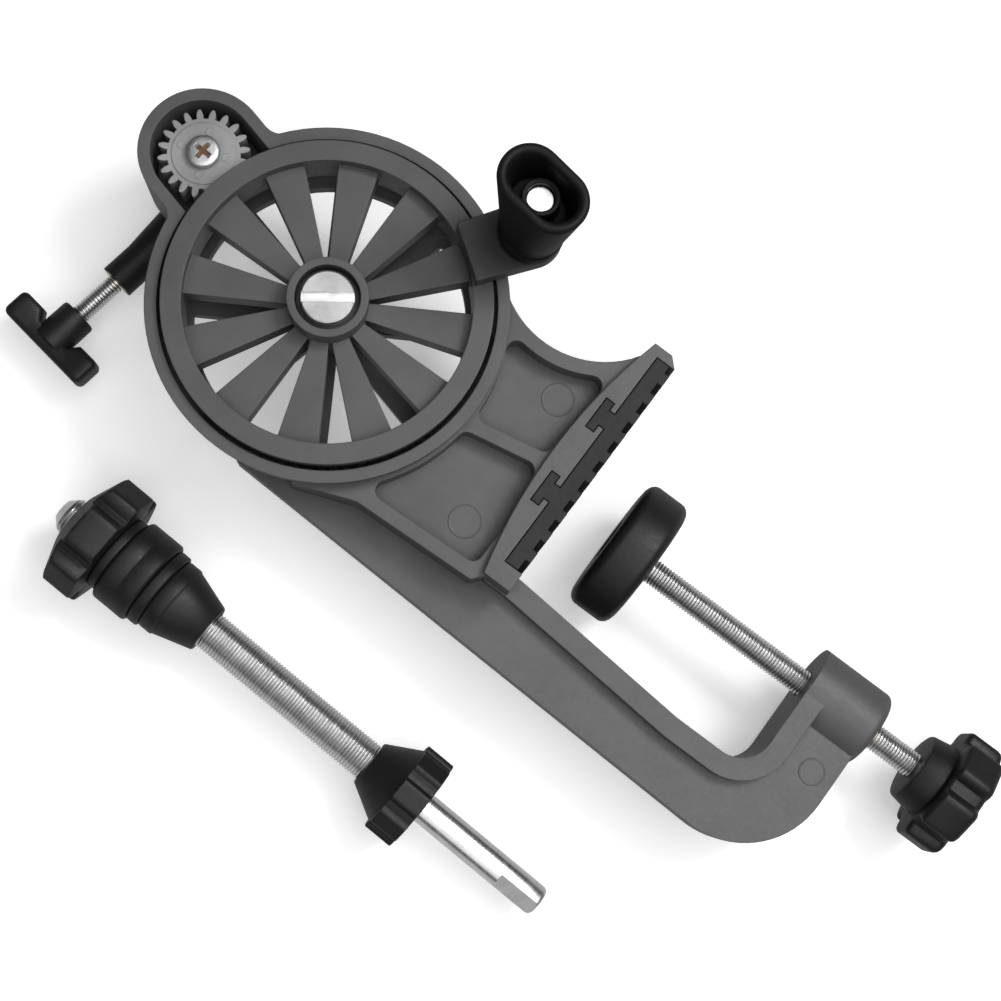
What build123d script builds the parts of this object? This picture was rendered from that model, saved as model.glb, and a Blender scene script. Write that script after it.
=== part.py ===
from build123d import *
import os
from math import acos, atan2, cos, degrees, hypot, pi, radians, sin, sqrt, tan

# A hand-cranked fishing line winder, lying on its back with its spool spindle beside it, as it is
# sold. A spur wheel with a crank arm drives a small pinion at a ratio of 3.75 to 1; the pinion turns
# a socket behind the case, which takes the spindle's shank. The grey frame is also the table clamp.
#
# Frame: the origin is on the clamp screw's axis, in the plane of the jaw pad's teeth. +X runs along
# the clamp screw towards its knob, +Z along the wheel's axle towards the crank, +Y completes the set.
# All sizes are millimetres and degrees.

# ---- clearances -------------------------------------------------------------------------------
PRESS_CLEARANCE = 0.01      # radial, between pieces pressed or cast into each other
RUNNING_CLEARANCE = 0.04    # radial, between a shaft and what it turns in
AXIAL_PLAY = 0.3            # between faces that turn past each other
SOCKET_CLEARANCE = 0.10     # radial, spindle shank in its socket
PAD_CLEARANCE = 0.3         # between the jaw pad and its recess

# ---- gears ------------------------------------------------------------------------------------
GEAR_MODULE = 1.2
WHEEL_TEETH = 75
PINION_TEETH = 20
PRESSURE_ANGLE = 20.0
BACKLASH = 0.3              # taken off each gear's tooth thickness, half each side
CENTRE_PLAY = 0.1           # the axles stand this much further apart than the pitch circles ask
PINION_DIRECTION = 166.1    # from the wheel's axle to the pinion's, about +Z from +X
PINION_TURN = 7.5           # a pinion tooth points this way at rest
DEDENDUM = 1.25             # in modules

# ---- where the main pieces stand ------------------------------------------------------------------
FLOOR_Z = -24.0
WHEEL_X = -90.0
WHEEL_Y = 1.5

# ---- gear case of the frame ---------------------------------------------------------------------
CASE_TOP = 28.0
CASE_BACK = 5.0
CASE_FLOOR = 4.0            # thickness of the pod's floor and the spider's arms
CASE_GAP = 1.3              # radial, between the wheel's flange and the wall
CASE_WALL = 3.5
CASE_RIM_HEIGHT = 6.0       # straight part of the outer wall, below the top
RIM_DRAFT = 0.5             # the straight part is this much smaller at its foot
CASE_LIP_RADIUS = 40.0      # the windows between the spider's arms end here
DISH_WALL = 2.2             # wall of the rounded part behind the gear
POD_RADIUS = 18.5
POD_WALL = 3.5
POD_BLEND = 6.0             # radius where the pod's wall runs into the round rim
SPIDER_ARMS = 8
SPIDER_ARM_WIDTH = 6.0
HUB_BOSS_RADIUS = 11.0
SHAFT_BOSS_RADIUS = 7.5

# ---- wheel ----------------------------------------------------------------------------------
FLANGE_TOP = 31.0
FLANGE_THICKNESS = 3.5
FLANGE_RADIUS = 46.9
RIM_INNER_RADIUS = 41.0
GEAR_FACE = 10.5            # width of the wheel's teeth along the axle
SPOKES = 12
SPOKE_DEPTH = 7.0
SPOKE_DROP = 4.0            # the blades' front faces lie this far below the flange
SPOKE_OUTER_WIDTH = 12.0
SPOKE_INNER_WIDTH = 4.6
HUB_RADIUS = 11.5
HUB_TOP = 34.5
HUB_RECESS_RADIUS = 9.3
HUB_RECESS_DEPTH = 4.5
CRANK_RADIUS = 60.0
CRANK_ANGLE = 55.1          # from the wheel's axle to the grip, about +Z from +X
CRANK_TOP = 37.0
CRANK_WIDTH = 17.5
CRANK_END_RADIUS = 9.4
CRANK_SKIM = 4.0            # the arm clears the top of the case by this

# ---- axle of the wheel -------------------------------------------------------------------------
AXLE_RADIUS = 4.0
AXLE_HEAD_RADIUS = 7.6
AXLE_HEAD_HEIGHT = 3.5
AXLE_SLOT_WIDTH = 2.8
AXLE_SLOT_DEPTH = 1.7
AXLE_WASHER_RADIUS = 9.0
AXLE_WASHER_THICKNESS = 1.0
AXLE_NUT_FLATS = 13.0
AXLE_NUT_HEIGHT = 5.5
AXLE_END = 0.8              # the bolt's end past its nut
REAR_WASHER_RADIUS = 8.0
REAR_WASHER_THICKNESS = 1.2
WHEEL_BUSH_WALL = 1.5

# ---- pinion and output shaft -----------------------------------------------------------------------
PINION_TOP = 25.2
PINION_FACE = 8.6
PINION_BOSS_RADIUS = 9.2
PINION_BOSS_HEIGHT = 0.3
SHAFT_RADIUS = 4.0
SHAFT_FLAT = 3.2            # distance of the shaft's flats from its axis, in pinion and socket
SHAFT_BUSH_WALL = 1.5
SHAFT_BUSH_FLANGE = 0.8
PINION_SCREW_RADIUS = 2.0
PINION_SCREW_LENGTH = 10.0
PINION_SCREW_HEAD_RADIUS = 4.8
PINION_SCREW_HEAD_HEIGHT = 2.6

# ---- spindle socket and its wing screw ----------------------------------------------------------------
SOCKET_TOP_RADIUS = 12.0
SOCKET_FOOT_RADIUS = 11.0
SOCKET_DEPTH = 21.0
LOCK_DIRECTION = 261.2      # the side boss points this way at rest, about +Z from +X
LOCK_Z = -10.0
LOCK_BOSS_REACH = 41.0      # from the output axis to the end of the side boss
LOCK_BOSS_ROOT_RADIUS = 7.0
LOCK_BOSS_END_RADIUS = 5.5
LOCK_STUD_RADIUS = 3.0
LOCK_INSERT_RADIUS = 4.2
LOCK_INSERT_LENGTH = 12.0
LOCK_TRAVEL = 5.0           # the stud can screw this far in from where it is
WING_GAP = 15.0             # bare stud between the side boss and the wing's neck
WING_NECK_LENGTH = 6.5
WING_NECK_RADIUS = 5.8
WING_BAR_LENGTH = 32.0
WING_BAR_THICKNESS = 9.0
WING_BAR_WAIST = 6.0        # thickness of the bar beside its neck
WING_BAR_WIDTH = 9.5
WING_END_ROUND = 2.0
WING_HOLE_DEPTH = 12.0

# ---- crank grip ---------------------------------------------------------------------------------
GRIP_BASE = 38.0
GRIP_TOP = 76.5
GRIP_BASE_RADIUS = 9.6
GRIP_BASE_HEIGHT = 4.0
GRIP_NECK_LENGTH = 18.4
GRIP_NECK_WIDTH = 16.6
GRIP_OVAL_LENGTH = 27.5
GRIP_OVAL_WIDTH = 18.0
GRIP_OVAL_TURN = -8.0
GRIP_WALL = 3.0
GRIP_CUP_DEPTH = 16.0
GRIP_TUBE_RADIUS = 5.3
GRIP_TUBE_DROP = 8.0
GRIP_SCREW_RADIUS = 3.0
GRIP_SCREW_HEAD_RADIUS = 3.6
GRIP_SCREW_HEAD_HEIGHT = 2.4
GRIP_SCREW_DROP = 5.0       # the screw's head lies this far below the tube's end
GRIP_HEAD_ROOM = 0.3        # radial, screw head in its pocket
GRIP_WASHER_RADIUS = 6.5

# ---- jaw and pad ---------------------------------------------------------------------------------
JAW_LOW_Y = -33.0
JAW_HIGH_Y = 50.0
JAW_MIDDLE_DEPTH = 14.2     # from the pad's teeth to the middle of the jaw's curved back
JAW_END_DEPTH = 9.0
JAW_TIP_CHAMFER = 3.0
JAW_LOW_LIP = 6.0           # jaw left below the pad
JAW_HIGH_LIP = 3.0          # jaw left above the pad
JAW_SHELF = 2.0             # closed floor under the pad
PAD_THICKNESS = 6.0
PAD_TEETH = 10
PAD_TOOTH_PITCH = 7.1
PAD_TOOTH_WIDTH = 3.4
PAD_TOOTH_HEIGHT = 1.8
PAD_TONGUE_SPACING = 26.5
PAD_TONGUE_NECK = 5.0
PAD_TONGUE_HEAD = 10.0
PAD_TONGUE_NECK_DEPTH = 2.2
PAD_TONGUE_HEAD_DEPTH = 2.5

# ---- neck with its ribs --------------------------------------------------------------------------
RIB_TOP = 21.0
POCKET_FLOOR = 14.0
POCKET_BACK = 10.0          # the pockets behind the web reach up to here
RIB_WIDTH = 4.2
POCKET_CORNER = 3.0
NECK_TOP_START = (-55.5, 39.5)
NECK_TOP_MIDDLE = (-35.2, 31.4)
NECK_TOP_END = (-10.5, 45.0)
NECK_LOW_START = (-68.0, -45.0)
NECK_LOW_BEND = (-50.0, -38.2)
NECK_LOW_END_Y = -36.5
MIDDLE_RIB_START = (-43.0, -2.0)
MIDDLE_RIB_END = (-12.0, 4.0)

# ---- spine, throat flange and lower jaw --------------------------------------------------------------
WEB_TOP = 7.5
WEB_BOTTOM = -1.5
FLANGE_HALF_HEIGHT = 12.0
THROAT_FLANGE_WIDTH = 6.5
THROAT_START_Y = -27.0
THROAT_BEND_X = 60.0
THROAT_Y = -31.8
THROAT_END_X = 86.0
THROAT_CORNER_RADIUS = 10.0
WEB_TOP_START = (-65.0, -23.5)
WEB_TOP_BEND = (-50.0, -33.7)
SPINE_START = (-86.0, -48.4)
SPINE_END = (80.0, -53.8)
LOWER_JAW_END_X = 108.5
LOWER_JAW_CORNER_RADIUS = 27.0
SCREW_BOSS_RADIUS = 12.5
SCREW_BOSS_END_X = 110.0
SCREW_BOSS_ROUND = 2.5
FLANGE_ON_BOSS = 3.0        # the throat flange runs this far past the screw's axis
FLANGE_FLARE = 6.0          # radius where the flange's outer edge runs into the boss
WEB_WINDOW_RADIUS = 43.0    # the web stops this far from the wheel's axle

# ---- clamp screw, foot and knob ----------------------------------------------------------------------
SCREW_RADIUS = 4.0
SCREW_HOLE_ROOM = 0.4       # radial, screw in the plain part of its hole
SCREW_INSERT_RADIUS = 6.5
SCREW_INSERT_LENGTH = 20.0
FOOT_FACE_X = 14.5
FOOT_THICKNESS = 14.5
FOOT_RADIUS = 21.3
FOOT_EDGE_ROUND = 4.0
FOOT_RECESS_RADIUS = 7.0
FOOT_RECESS_DEPTH = 4.0
FOOT_NOSE_RADIUS = 2.9
FOOT_RING_THICKNESS = 1.0
FOOT_RING_RADIUS = 4.6
FOOT_RING_GROOVE = 0.7
KNOB_START_X = 126.0
KNOB_COLLAR_LENGTH = 7.5
KNOB_COLLAR_RADIUS = 12.0
KNOB_COLLAR_TAPER = 1.4
KNOB_BODY_LENGTH = 12.5
KNOB_RADIUS = 18.0
KNOB_VALLEY_RADIUS = 15.6
KNOB_LOBES = 6
KNOB_LOBE_WIDTH = 13.0
KNOB_EDGE = 2.0
KNOB_HOLE_DEPTH = 16.0

# ---- spool spindle, along its own axis from the threaded tip -----------------------------------------------
SPINDLE_TIP = (-119.7, -89.4)
SPINDLE_TURN = -2.6         # about +Z from +X
SPINDLE_LENGTH = 181.5
ROD_RADIUS = 6.0
ROD_TIP_CHAMFER = 3.0
SHANK_RADIUS = 4.7
SHANK_CHAMFER = 1.2
SHANK_FLAT_LENGTH = 14.0
SHANK_FLAT_DEPTH = 1.3
SHANK_FLAT_TURN = -42.0
NUT_START = 5.0
NUT_LENGTH = 14.5
NUT_RADIUS = 18.8
NUT_VALLEY_RADIUS = 15.8
NUT_LOBES = 6
NUT_LOBE_WIDTH = 14.0
NUT_FACE_RADIUS = 9.0
NUT_TAPER_LENGTH = 5.0
OUTER_WASHER_THICKNESS = 3.3
OUTER_WASHER_RADIUS = 12.2
COLLAR_LENGTH = 12.0
COLLAR_RADIUS = 13.8
INNER_WASHER_THICKNESS = 3.8
INNER_WASHER_RADIUS = 12.6
CONE_RIM_LENGTH = 5.0
CONE_RIM_RADIUS = 11.8
CONE_LENGTH = 12.0
CONE_SMALL_RADIUS = 7.6
FIXED_CONE_START = 117.0
FIXED_CONE_LENGTH = 10.5
FIXED_CONE_FRONT_RADIUS = 7.2
FIXED_CONE_BASE_RADIUS = 13.0
FIXED_CONE_RIM_RADIUS = 14.8
FIXED_CONE_RIM_VALLEY = 13.6
FIXED_CONE_RIM_LENGTH = 9.5
FIXED_CONE_LOBES = 8
FIXED_CONE_LOBE_WIDTH = 8.0
FIXED_CONE_EDGE = 1.0

# ---- sizes that follow ------------------------------------------------------------------------------
wheel_pitch_radius = GEAR_MODULE * WHEEL_TEETH / 2
pinion_pitch_radius = GEAR_MODULE * PINION_TEETH / 2
gear_centres = wheel_pitch_radius + pinion_pitch_radius + CENTRE_PLAY
PINION_X = WHEEL_X + gear_centres * cos(radians(PINION_DIRECTION))
PINION_Y = WHEEL_Y + gear_centres * sin(radians(PINION_DIRECTION))
GRIP_X = WHEEL_X + CRANK_RADIUS * cos(radians(CRANK_ANGLE))
GRIP_Y = WHEEL_Y + CRANK_RADIUS * sin(radians(CRANK_ANGLE))
case_inner_radius = FLANGE_RADIUS + CASE_GAP
case_radius = case_inner_radius + CASE_WALL
rim_foot = CASE_TOP - CASE_RIM_HEIGHT
gear_low = FLANGE_TOP - FLANGE_THICKNESS - GEAR_FACE
hub_bottom = gear_low - 0.5
hub_seat = hub_bottom - AXIAL_PLAY
pinion_low = PINION_TOP - PINION_FACE
socket_top = CASE_BACK - SHAFT_BUSH_FLANGE - AXIAL_PLAY
socket_radius = SHANK_RADIUS + SOCKET_CLEARANCE
jaw_half_height = -FLOOR_Z
pad_low_y = JAW_LOW_Y + JAW_LOW_LIP
pad_high_y = JAW_HIGH_Y - JAW_HIGH_LIP
pad_middle_y = (pad_low_y + pad_high_y) / 2
foot_back_x = FOOT_FACE_X + FOOT_THICKNESS

wheel_axis = Pos(WHEEL_X, WHEEL_Y, 0)
pinion_axis = Pos(PINION_X, PINION_Y, 0)
grip_axis = Pos(GRIP_X, GRIP_Y, 0)
screw_axis = Plane(origin=(0, 0, 0), x_dir=(0, 1, 0), z_dir=(1, 0, 0)).location
lock_along = Vector(cos(radians(LOCK_DIRECTION)), sin(radians(LOCK_DIRECTION)), 0)
lock_axis = Plane(origin=(PINION_X, PINION_Y, LOCK_Z), x_dir=(0, 0, 1), z_dir=lock_along).location

# The spindle lies on the floor on one lobe of its nut and on one of its fixed cone, and dips
# towards the cone, so each rests on the end of its lobe that is further from the tip.
nut_end = NUT_START + NUT_LENGTH
cone_rim_start = FIXED_CONE_START + FIXED_CONE_LENGTH
cone_end = cone_rim_start + FIXED_CONE_RIM_LENGTH
cone_contact = cone_end - FIXED_CONE_EDGE
spindle_dip = degrees(atan2(NUT_RADIUS - FIXED_CONE_RIM_RADIUS, cone_contact - nut_end))
spindle_along = Vector(
    cos(radians(SPINDLE_TURN)) * cos(radians(spindle_dip)),
    sin(radians(SPINDLE_TURN)) * cos(radians(spindle_dip)),
    -sin(radians(spindle_dip)),
)
spindle_tip_z = (
    FLOOR_Z + NUT_RADIUS * cos(radians(spindle_dip)) + nut_end * sin(radians(spindle_dip))
)
spindle_axis = Plane(
    origin=(SPINDLE_TIP[0], SPINDLE_TIP[1], spindle_tip_z),
    x_dir=(sin(radians(SPINDLE_TURN)), -cos(radians(SPINDLE_TURN)), 0),
    z_dir=spindle_along,
).location


# ---- helpers ------------------------------------------------------------------------------------
def rod(radius, low, high):
    """A cylinder about the local Z axis between two heights."""
    return Pos(0, 0, (low + high) / 2) * Cylinder(radius, high - low)


def tube(outer, inner, low, high):
    """A hollow cylinder about the local Z axis."""
    return rod(outer, low, high) - rod(inner, low - 1, high + 1)


def turned(*profile):
    """A solid of revolution about the local Z axis, from (radius, height) points in order."""
    points = [(radius, 0, height) for radius, height in profile]
    face = make_face(Polyline(*points, close=True))
    return revolve(face, Axis.Z)


def prism(outline, low, high):
    """A flat outline in the XY plane, raised between two heights."""
    return Pos(0, 0, low) * extrude(outline, high - low)


def polar(radius, angle):
    """A point at a radius and an angle in degrees."""
    return (radius * cos(radians(angle)), radius * sin(radians(angle)))


def gear_outline(teeth, turn):
    """A spur gear's outline, one tooth pointing at the angle turn. Each flank is an arc through
    three points of the involute."""
    pitch = GEAR_MODULE * teeth / 2
    base = pitch * cos(radians(PRESSURE_ANGLE))
    tip = pitch + GEAR_MODULE
    root = pitch - DEDENDUM * GEAR_MODULE
    half_tooth = (pi * GEAR_MODULE / 2 - BACKLASH / 2) / (2 * pitch)
    pressure = radians(PRESSURE_ANGLE)
    half_base = half_tooth + tan(pressure) - pressure

    def half_angle(radius):
        at = acos(min(1.0, base / radius))
        return degrees(half_base - tan(at) + at)

    middle = (max(root, base) + tip) / 2
    step = 360 / teeth
    edges = []
    for index in range(teeth):
        centre = turn + index * step
        left = [polar(radius, centre - half_angle(radius)) for radius in (root, middle, tip)]
        right = [polar(radius, centre + half_angle(radius)) for radius in (tip, middle, root)]
        next_root = polar(root, centre + step - half_angle(root))
        edges.append(ThreePointArc(*left))
        edges.append(ThreePointArc(left[2], polar(tip, centre), right[0]))
        edges.append(ThreePointArc(*right))
        edges.append(ThreePointArc(right[2], polar(root, centre + step / 2), next_root))
    return make_face(edges)


def lobed_outline(lobes, radius, valley, width, turn=0):
    """Flat-faced lobes standing out of a round core."""
    outline = Circle(valley)
    for index in range(lobes):
        outline += Rot(0, 0, turn + index * 360 / lobes) * Pos(radius / 2, 0) * Rectangle(radius, width)
    return outline


def slot_at(start, end, width):
    """A straight bar between two points in the XY plane, with square ends."""
    length = hypot(end[0] - start[0], end[1] - start[1])
    angle = degrees(atan2(end[1] - start[1], end[0] - start[0]))
    middle = ((start[0] + end[0]) / 2, (start[1] + end[1]) / 2)
    return Pos(*middle) * Rot(0, 0, angle) * Rectangle(length, width)


# ---- frame ------------------------------------------------------------------------------------
def gear_case():
    """The round part of the case: a straight rim over a rounded dish, open between its arms."""
    gear_room = gear_low - 1.5
    outer = turned(
        (0, CASE_BACK),
        (CASE_LIP_RADIUS + 3.5, CASE_BACK),
        (case_inner_radius - 1.0, gear_room - 5.0),
        (case_inner_radius + DISH_WALL - 0.6, gear_room + 1.5),
        (case_radius - RIM_DRAFT, rim_foot),
        (case_radius, CASE_TOP),
        (0, CASE_TOP),
    )
    return wheel_axis * outer


def gear_case_room():
    """What the wheel and the pinion need inside the case."""
    floor = CASE_BACK + CASE_FLOOR
    gear_room = gear_low - 1.5
    wheel_room = turned(
        (0, floor),
        (CASE_LIP_RADIUS + 2.0, floor),
        (case_inner_radius - DISH_WALL, gear_room - 3.5),
        (case_inner_radius, gear_room),
        (case_inner_radius, CASE_TOP + 1),
        (0, CASE_TOP + 1),
    )
    pod_room = prism(pod_outline(POD_RADIUS - POD_WALL), floor, CASE_TOP + 1)
    return wheel_axis * wheel_room + pod_room


def pod_outline(radius):
    """A bar with a round end about the output axis, reaching into the round case."""
    reach = gear_centres - 20
    bar = Pos(reach / 2, 0) * Rectangle(reach, 2 * radius)
    return pinion_axis * Rot(0, 0, PINION_DIRECTION + 180) * (Circle(radius) + bar)


def pod():
    """The pod over the pinion, its wall blended into the round rim."""
    ring = wheel_axis * Circle(case_radius - RIM_DRAFT)
    grown = offset(pod_outline(POD_RADIUS) + ring, POD_BLEND)
    blended = offset(grown, -POD_BLEND, kind=Kind.ARC)
    wall = prism(pod_outline(POD_RADIUS), CASE_BACK, CASE_TOP)
    return wall + prism(blended - ring, rim_foot, CASE_TOP)


def spider():
    """Arms behind the wheel, from the axle's boss to the case."""
    reach = CASE_LIP_RADIUS + 3
    arms = Circle(HUB_BOSS_RADIUS)
    for index in range(SPIDER_ARMS):
        angle = PINION_DIRECTION + index * 360 / SPIDER_ARMS
        arms += Rot(0, 0, angle) * Pos(reach / 2, 0) * Rectangle(reach, SPIDER_ARM_WIDTH)
    boss = rod(HUB_BOSS_RADIUS, CASE_BACK, hub_seat)
    return wheel_axis * (prism(arms, CASE_BACK, CASE_BACK + CASE_FLOOR) + boss)


def jaw_back_arc():
    """The curved back of the jaw, from its lower end to its upper one."""
    return ThreePointArc(
        (-JAW_END_DEPTH, JAW_LOW_Y),
        (-JAW_MIDDLE_DEPTH, (JAW_LOW_Y + JAW_HIGH_Y) / 2),
        (-JAW_END_DEPTH, JAW_HIGH_Y),
    )


def jaw_outline():
    """The jaw seen along the wheel's axle."""
    front = Polyline(
        (-JAW_END_DEPTH, JAW_HIGH_Y),
        (-JAW_TIP_CHAMFER, JAW_HIGH_Y),
        (0, JAW_HIGH_Y - JAW_TIP_CHAMFER),
        (0, JAW_LOW_Y),
        (-JAW_END_DEPTH, JAW_LOW_Y),
    )
    return make_face(jaw_back_arc().edges() + front.edges())


def pad_outline(clearance):
    """The pad's plate and tongues, seen along the wheel's axle, grown by a clearance."""
    plate_depth = PAD_THICKNESS - PAD_TOOTH_HEIGHT
    plate = Pos(-PAD_TOOTH_HEIGHT - plate_depth / 2, pad_middle_y) * Rectangle(
        plate_depth + 2 * clearance, pad_high_y - pad_low_y - 2 * PAD_CLEARANCE + 2 * clearance
    )
    neck_depth = PAD_TONGUE_NECK_DEPTH
    head_depth = PAD_TONGUE_HEAD_DEPTH
    for side in (-1, 1):
        y = pad_middle_y + side * PAD_TONGUE_SPACING / 2
        plate += Pos(-PAD_THICKNESS - neck_depth / 2, y) * Rectangle(
            neck_depth + 1, PAD_TONGUE_NECK + 2 * clearance
        )
        plate += Pos(-PAD_THICKNESS - neck_depth - head_depth / 2, y) * Rectangle(
            head_depth + 2 * clearance, PAD_TONGUE_HEAD + 2 * clearance
        )
    return plate


def jaw():
    """The jaw block, solid."""
    return prism(jaw_outline(), -jaw_half_height, jaw_half_height)


def pad_recess():
    """The pad's recess with its T-slots, open at the top and in front."""
    front = Pos(-PAD_THICKNESS / 2 + 1, pad_middle_y) * Rectangle(
        PAD_THICKNESS + 2, pad_high_y - pad_low_y
    )
    outline = pad_outline(PAD_CLEARANCE) + front
    return prism(outline, -jaw_half_height + JAW_SHELF, jaw_half_height + 1)


def neck():
    """The ribbed neck between the case and the jaw, with pockets on both faces."""
    top = ThreePointArc(NECK_TOP_START, NECK_TOP_MIDDLE, NECK_TOP_END)
    rest = Polyline(
        NECK_TOP_END,
        (-JAW_END_DEPTH + 1, JAW_HIGH_Y - 1),
        (-JAW_END_DEPTH + 1, JAW_LOW_Y),
        (-JAW_END_DEPTH - 2, NECK_LOW_END_Y),
        NECK_LOW_BEND,
        NECK_LOW_START,
        (WHEEL_X + CASE_LIP_RADIUS, WHEEL_Y),
        NECK_TOP_START,
    )
    outline = make_face(top.edges() + rest.edges())
    solid = prism(outline, CASE_BACK, RIB_TOP)
    solid -= wheel_axis * rod(case_radius - 1, CASE_BACK - 1, CASE_TOP)
    pockets = pocket_outlines(outline)
    for pocket in pockets:
        solid -= prism(pocket, POCKET_FLOOR, RIB_TOP + 1)
        solid -= prism(pocket, CASE_BACK - 10, POCKET_BACK)
    return solid


def pocket_outlines(outline):
    """The two pockets: the neck's outline less its ribs, the case and the jaw."""
    inside = offset(outline, -RIB_WIDTH)
    inside -= wheel_axis * Circle(case_radius + 0.5)
    inside -= offset(jaw_outline(), 0.5)
    inside -= slot_at(MIDDLE_RIB_START, MIDDLE_RIB_END, RIB_WIDTH)
    shrunk = [offset(face, -POCKET_CORNER) for face in inside.faces()]
    return [offset(face, POCKET_CORNER, kind=Kind.ARC) for face in shrunk]


def throat_edge(distance):
    """The throat's edge from the jaw to the screw's boss, moved outward by a distance."""
    corner = (THROAT_END_X - THROAT_CORNER_RADIUS, THROAT_Y + THROAT_CORNER_RADIUS)
    radius = THROAT_CORNER_RADIUS + distance
    low = THROAT_Y - distance
    far = THROAT_END_X + distance
    straight = Polyline(
        (-JAW_END_DEPTH + 1, THROAT_START_Y - distance),
        (0, THROAT_START_Y - distance),
        (THROAT_BEND_X, low),
        (corner[0], low),
    )
    diagonal = radius * sqrt(0.5)
    bend = ThreePointArc((corner[0], low), (corner[0] + diagonal, corner[1] - diagonal), (far, corner[1]))
    end = Line((far, corner[1]), (far, 0))
    return straight.edges() + bend.edges() + end.edges()


def throat_flange():
    """The flange along the throat, standing out on both sides of the web."""
    inner = throat_edge(0)
    outer = throat_edge(THROAT_FLANGE_WIDTH)
    caps = [
        Line((THROAT_END_X, 0), (THROAT_END_X + THROAT_FLANGE_WIDTH, 0)).edge(),
        Line(
            (-JAW_END_DEPTH + 1, THROAT_START_Y),
            (-JAW_END_DEPTH + 1, THROAT_START_Y - THROAT_FLANGE_WIDTH),
        ).edge(),
    ]
    outline = make_face(inner + outer + caps)
    outline += Pos(THROAT_END_X + THROAT_FLANGE_WIDTH / 2, 0) * Rectangle(
        THROAT_FLANGE_WIDTH, 2 * FLANGE_ON_BOSS
    )
    far = THROAT_END_X + THROAT_FLANGE_WIDTH
    corner = Pos(far + FLANGE_FLARE / 2, -FLANGE_FLARE / 2) * Rectangle(FLANGE_FLARE, FLANGE_FLARE)
    outline += corner - Pos(far + FLANGE_FLARE, -FLANGE_FLARE) * Circle(FLANGE_FLARE)
    return prism(outline, -FLANGE_HALF_HEIGHT, FLANGE_HALF_HEIGHT)


def spine_web():
    """The broad flat web of the spine and the lower jaw."""
    radius = LOWER_JAW_CORNER_RADIUS
    centre = (LOWER_JAW_END_X - radius, SPINE_END[1] + radius)
    diagonal = radius * sqrt(0.5)
    bend = ThreePointArc(
        (centre[0], SPINE_END[1]),
        (centre[0] + diagonal, centre[1] - diagonal),
        (LOWER_JAW_END_X, centre[1]),
    )
    outer = Polyline(
        WEB_TOP_START,
        (WHEEL_X - 8, WHEEL_Y - CASE_LIP_RADIUS),
        SPINE_START,
        (centre[0], SPINE_END[1]),
    )
    close = Polyline(
        (LOWER_JAW_END_X, centre[1]),
        (LOWER_JAW_END_X, 0),
        (THROAT_END_X, 0),
    )
    join = Polyline((-JAW_END_DEPTH + 1, THROAT_START_Y), WEB_TOP_BEND, WEB_TOP_START)
    outline = make_face(outer.edges() + bend.edges() + close.edges() + throat_edge(0) + join.edges())
    outline -= wheel_axis * Circle(WEB_WINDOW_RADIUS)
    return prism(outline, WEB_BOTTOM, WEB_TOP)


def clamp_frame():
    """The whole grey moulding: case, pod, spider, neck, jaw, spine and lower jaw."""
    boss = rod(SCREW_BOSS_RADIUS, THROAT_END_X, SCREW_BOSS_END_X)
    boss = screw_axis * fillet(boss.edges().group_by(Axis.Z)[-1], SCREW_BOSS_ROUND)
    solid = gear_case() + pod()
    solid -= gear_case_room()
    windows = wheel_axis * rod(CASE_LIP_RADIUS, CASE_BACK - 1, CASE_BACK + CASE_FLOOR + 1)
    solid -= windows
    solid += spider()
    solid += pinion_axis * rod(SHAFT_BOSS_RADIUS, CASE_BACK, pinion_low - AXIAL_PLAY - SHAFT_BUSH_FLANGE)
    solid += neck()
    solid += spine_web()
    solid += throat_flange()
    solid += jaw()
    solid += boss
    solid -= pad_recess()
    solid -= wheel_axis * rod(AXLE_RADIUS + PRESS_CLEARANCE, CASE_BACK - 1, CASE_TOP)
    bush_hole = rod(SHAFT_RADIUS + SHAFT_BUSH_WALL + PRESS_CLEARANCE, CASE_BACK - 1, CASE_TOP)
    solid -= pinion_axis * bush_hole
    insert_end = SCREW_BOSS_END_X - SCREW_INSERT_LENGTH
    solid -= screw_axis * rod(SCREW_INSERT_RADIUS + PRESS_CLEARANCE, insert_end, SCREW_BOSS_END_X + 1)
    solid -= screw_axis * rod(SCREW_RADIUS + SCREW_HOLE_ROOM, THROAT_END_X - 5, insert_end + 1)
    return solid


def jaw_pad():
    """The toothed pad with two T-shaped tongues."""
    low = -jaw_half_height + JAW_SHELF
    pad = prism(pad_outline(0), low, jaw_half_height)
    first = round((pad_middle_y / PAD_TOOTH_PITCH) - (PAD_TEETH - 1) / 2)
    for index in range(PAD_TEETH):
        y = (first + index) * PAD_TOOTH_PITCH
        tooth = Pos(-PAD_TOOTH_HEIGHT / 2, y) * Rectangle(PAD_TOOTH_HEIGHT, PAD_TOOTH_WIDTH)
        pad += prism(tooth, low, jaw_half_height)
    return pad


def clamp_thread_insert():
    """The metal insert that the clamp screw turns in."""
    start = SCREW_BOSS_END_X - SCREW_INSERT_LENGTH
    return screw_axis * tube(
        SCREW_INSERT_RADIUS, SCREW_RADIUS + RUNNING_CLEARANCE, start, SCREW_BOSS_END_X
    )


# ---- wheel and its axle -------------------------------------------------------------------------
washer_low = HUB_TOP - HUB_RECESS_DEPTH + 0.05
head_low = washer_low + AXLE_WASHER_THICKNESS
nut_top = CASE_BACK - REAR_WASHER_THICKNESS
nut_bottom = nut_top - AXLE_NUT_HEIGHT


def wheel_turn():
    """The angle of a wheel tooth at rest that puts it in mesh with the pinion."""
    step = 360 / PINION_TEETH
    gap = PINION_TURN + step / 2
    facing = PINION_DIRECTION + 180
    out_of_line = (gap - facing + step / 2) % step - step / 2
    return PINION_DIRECTION - out_of_line * PINION_TEETH / WHEEL_TEETH


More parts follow.
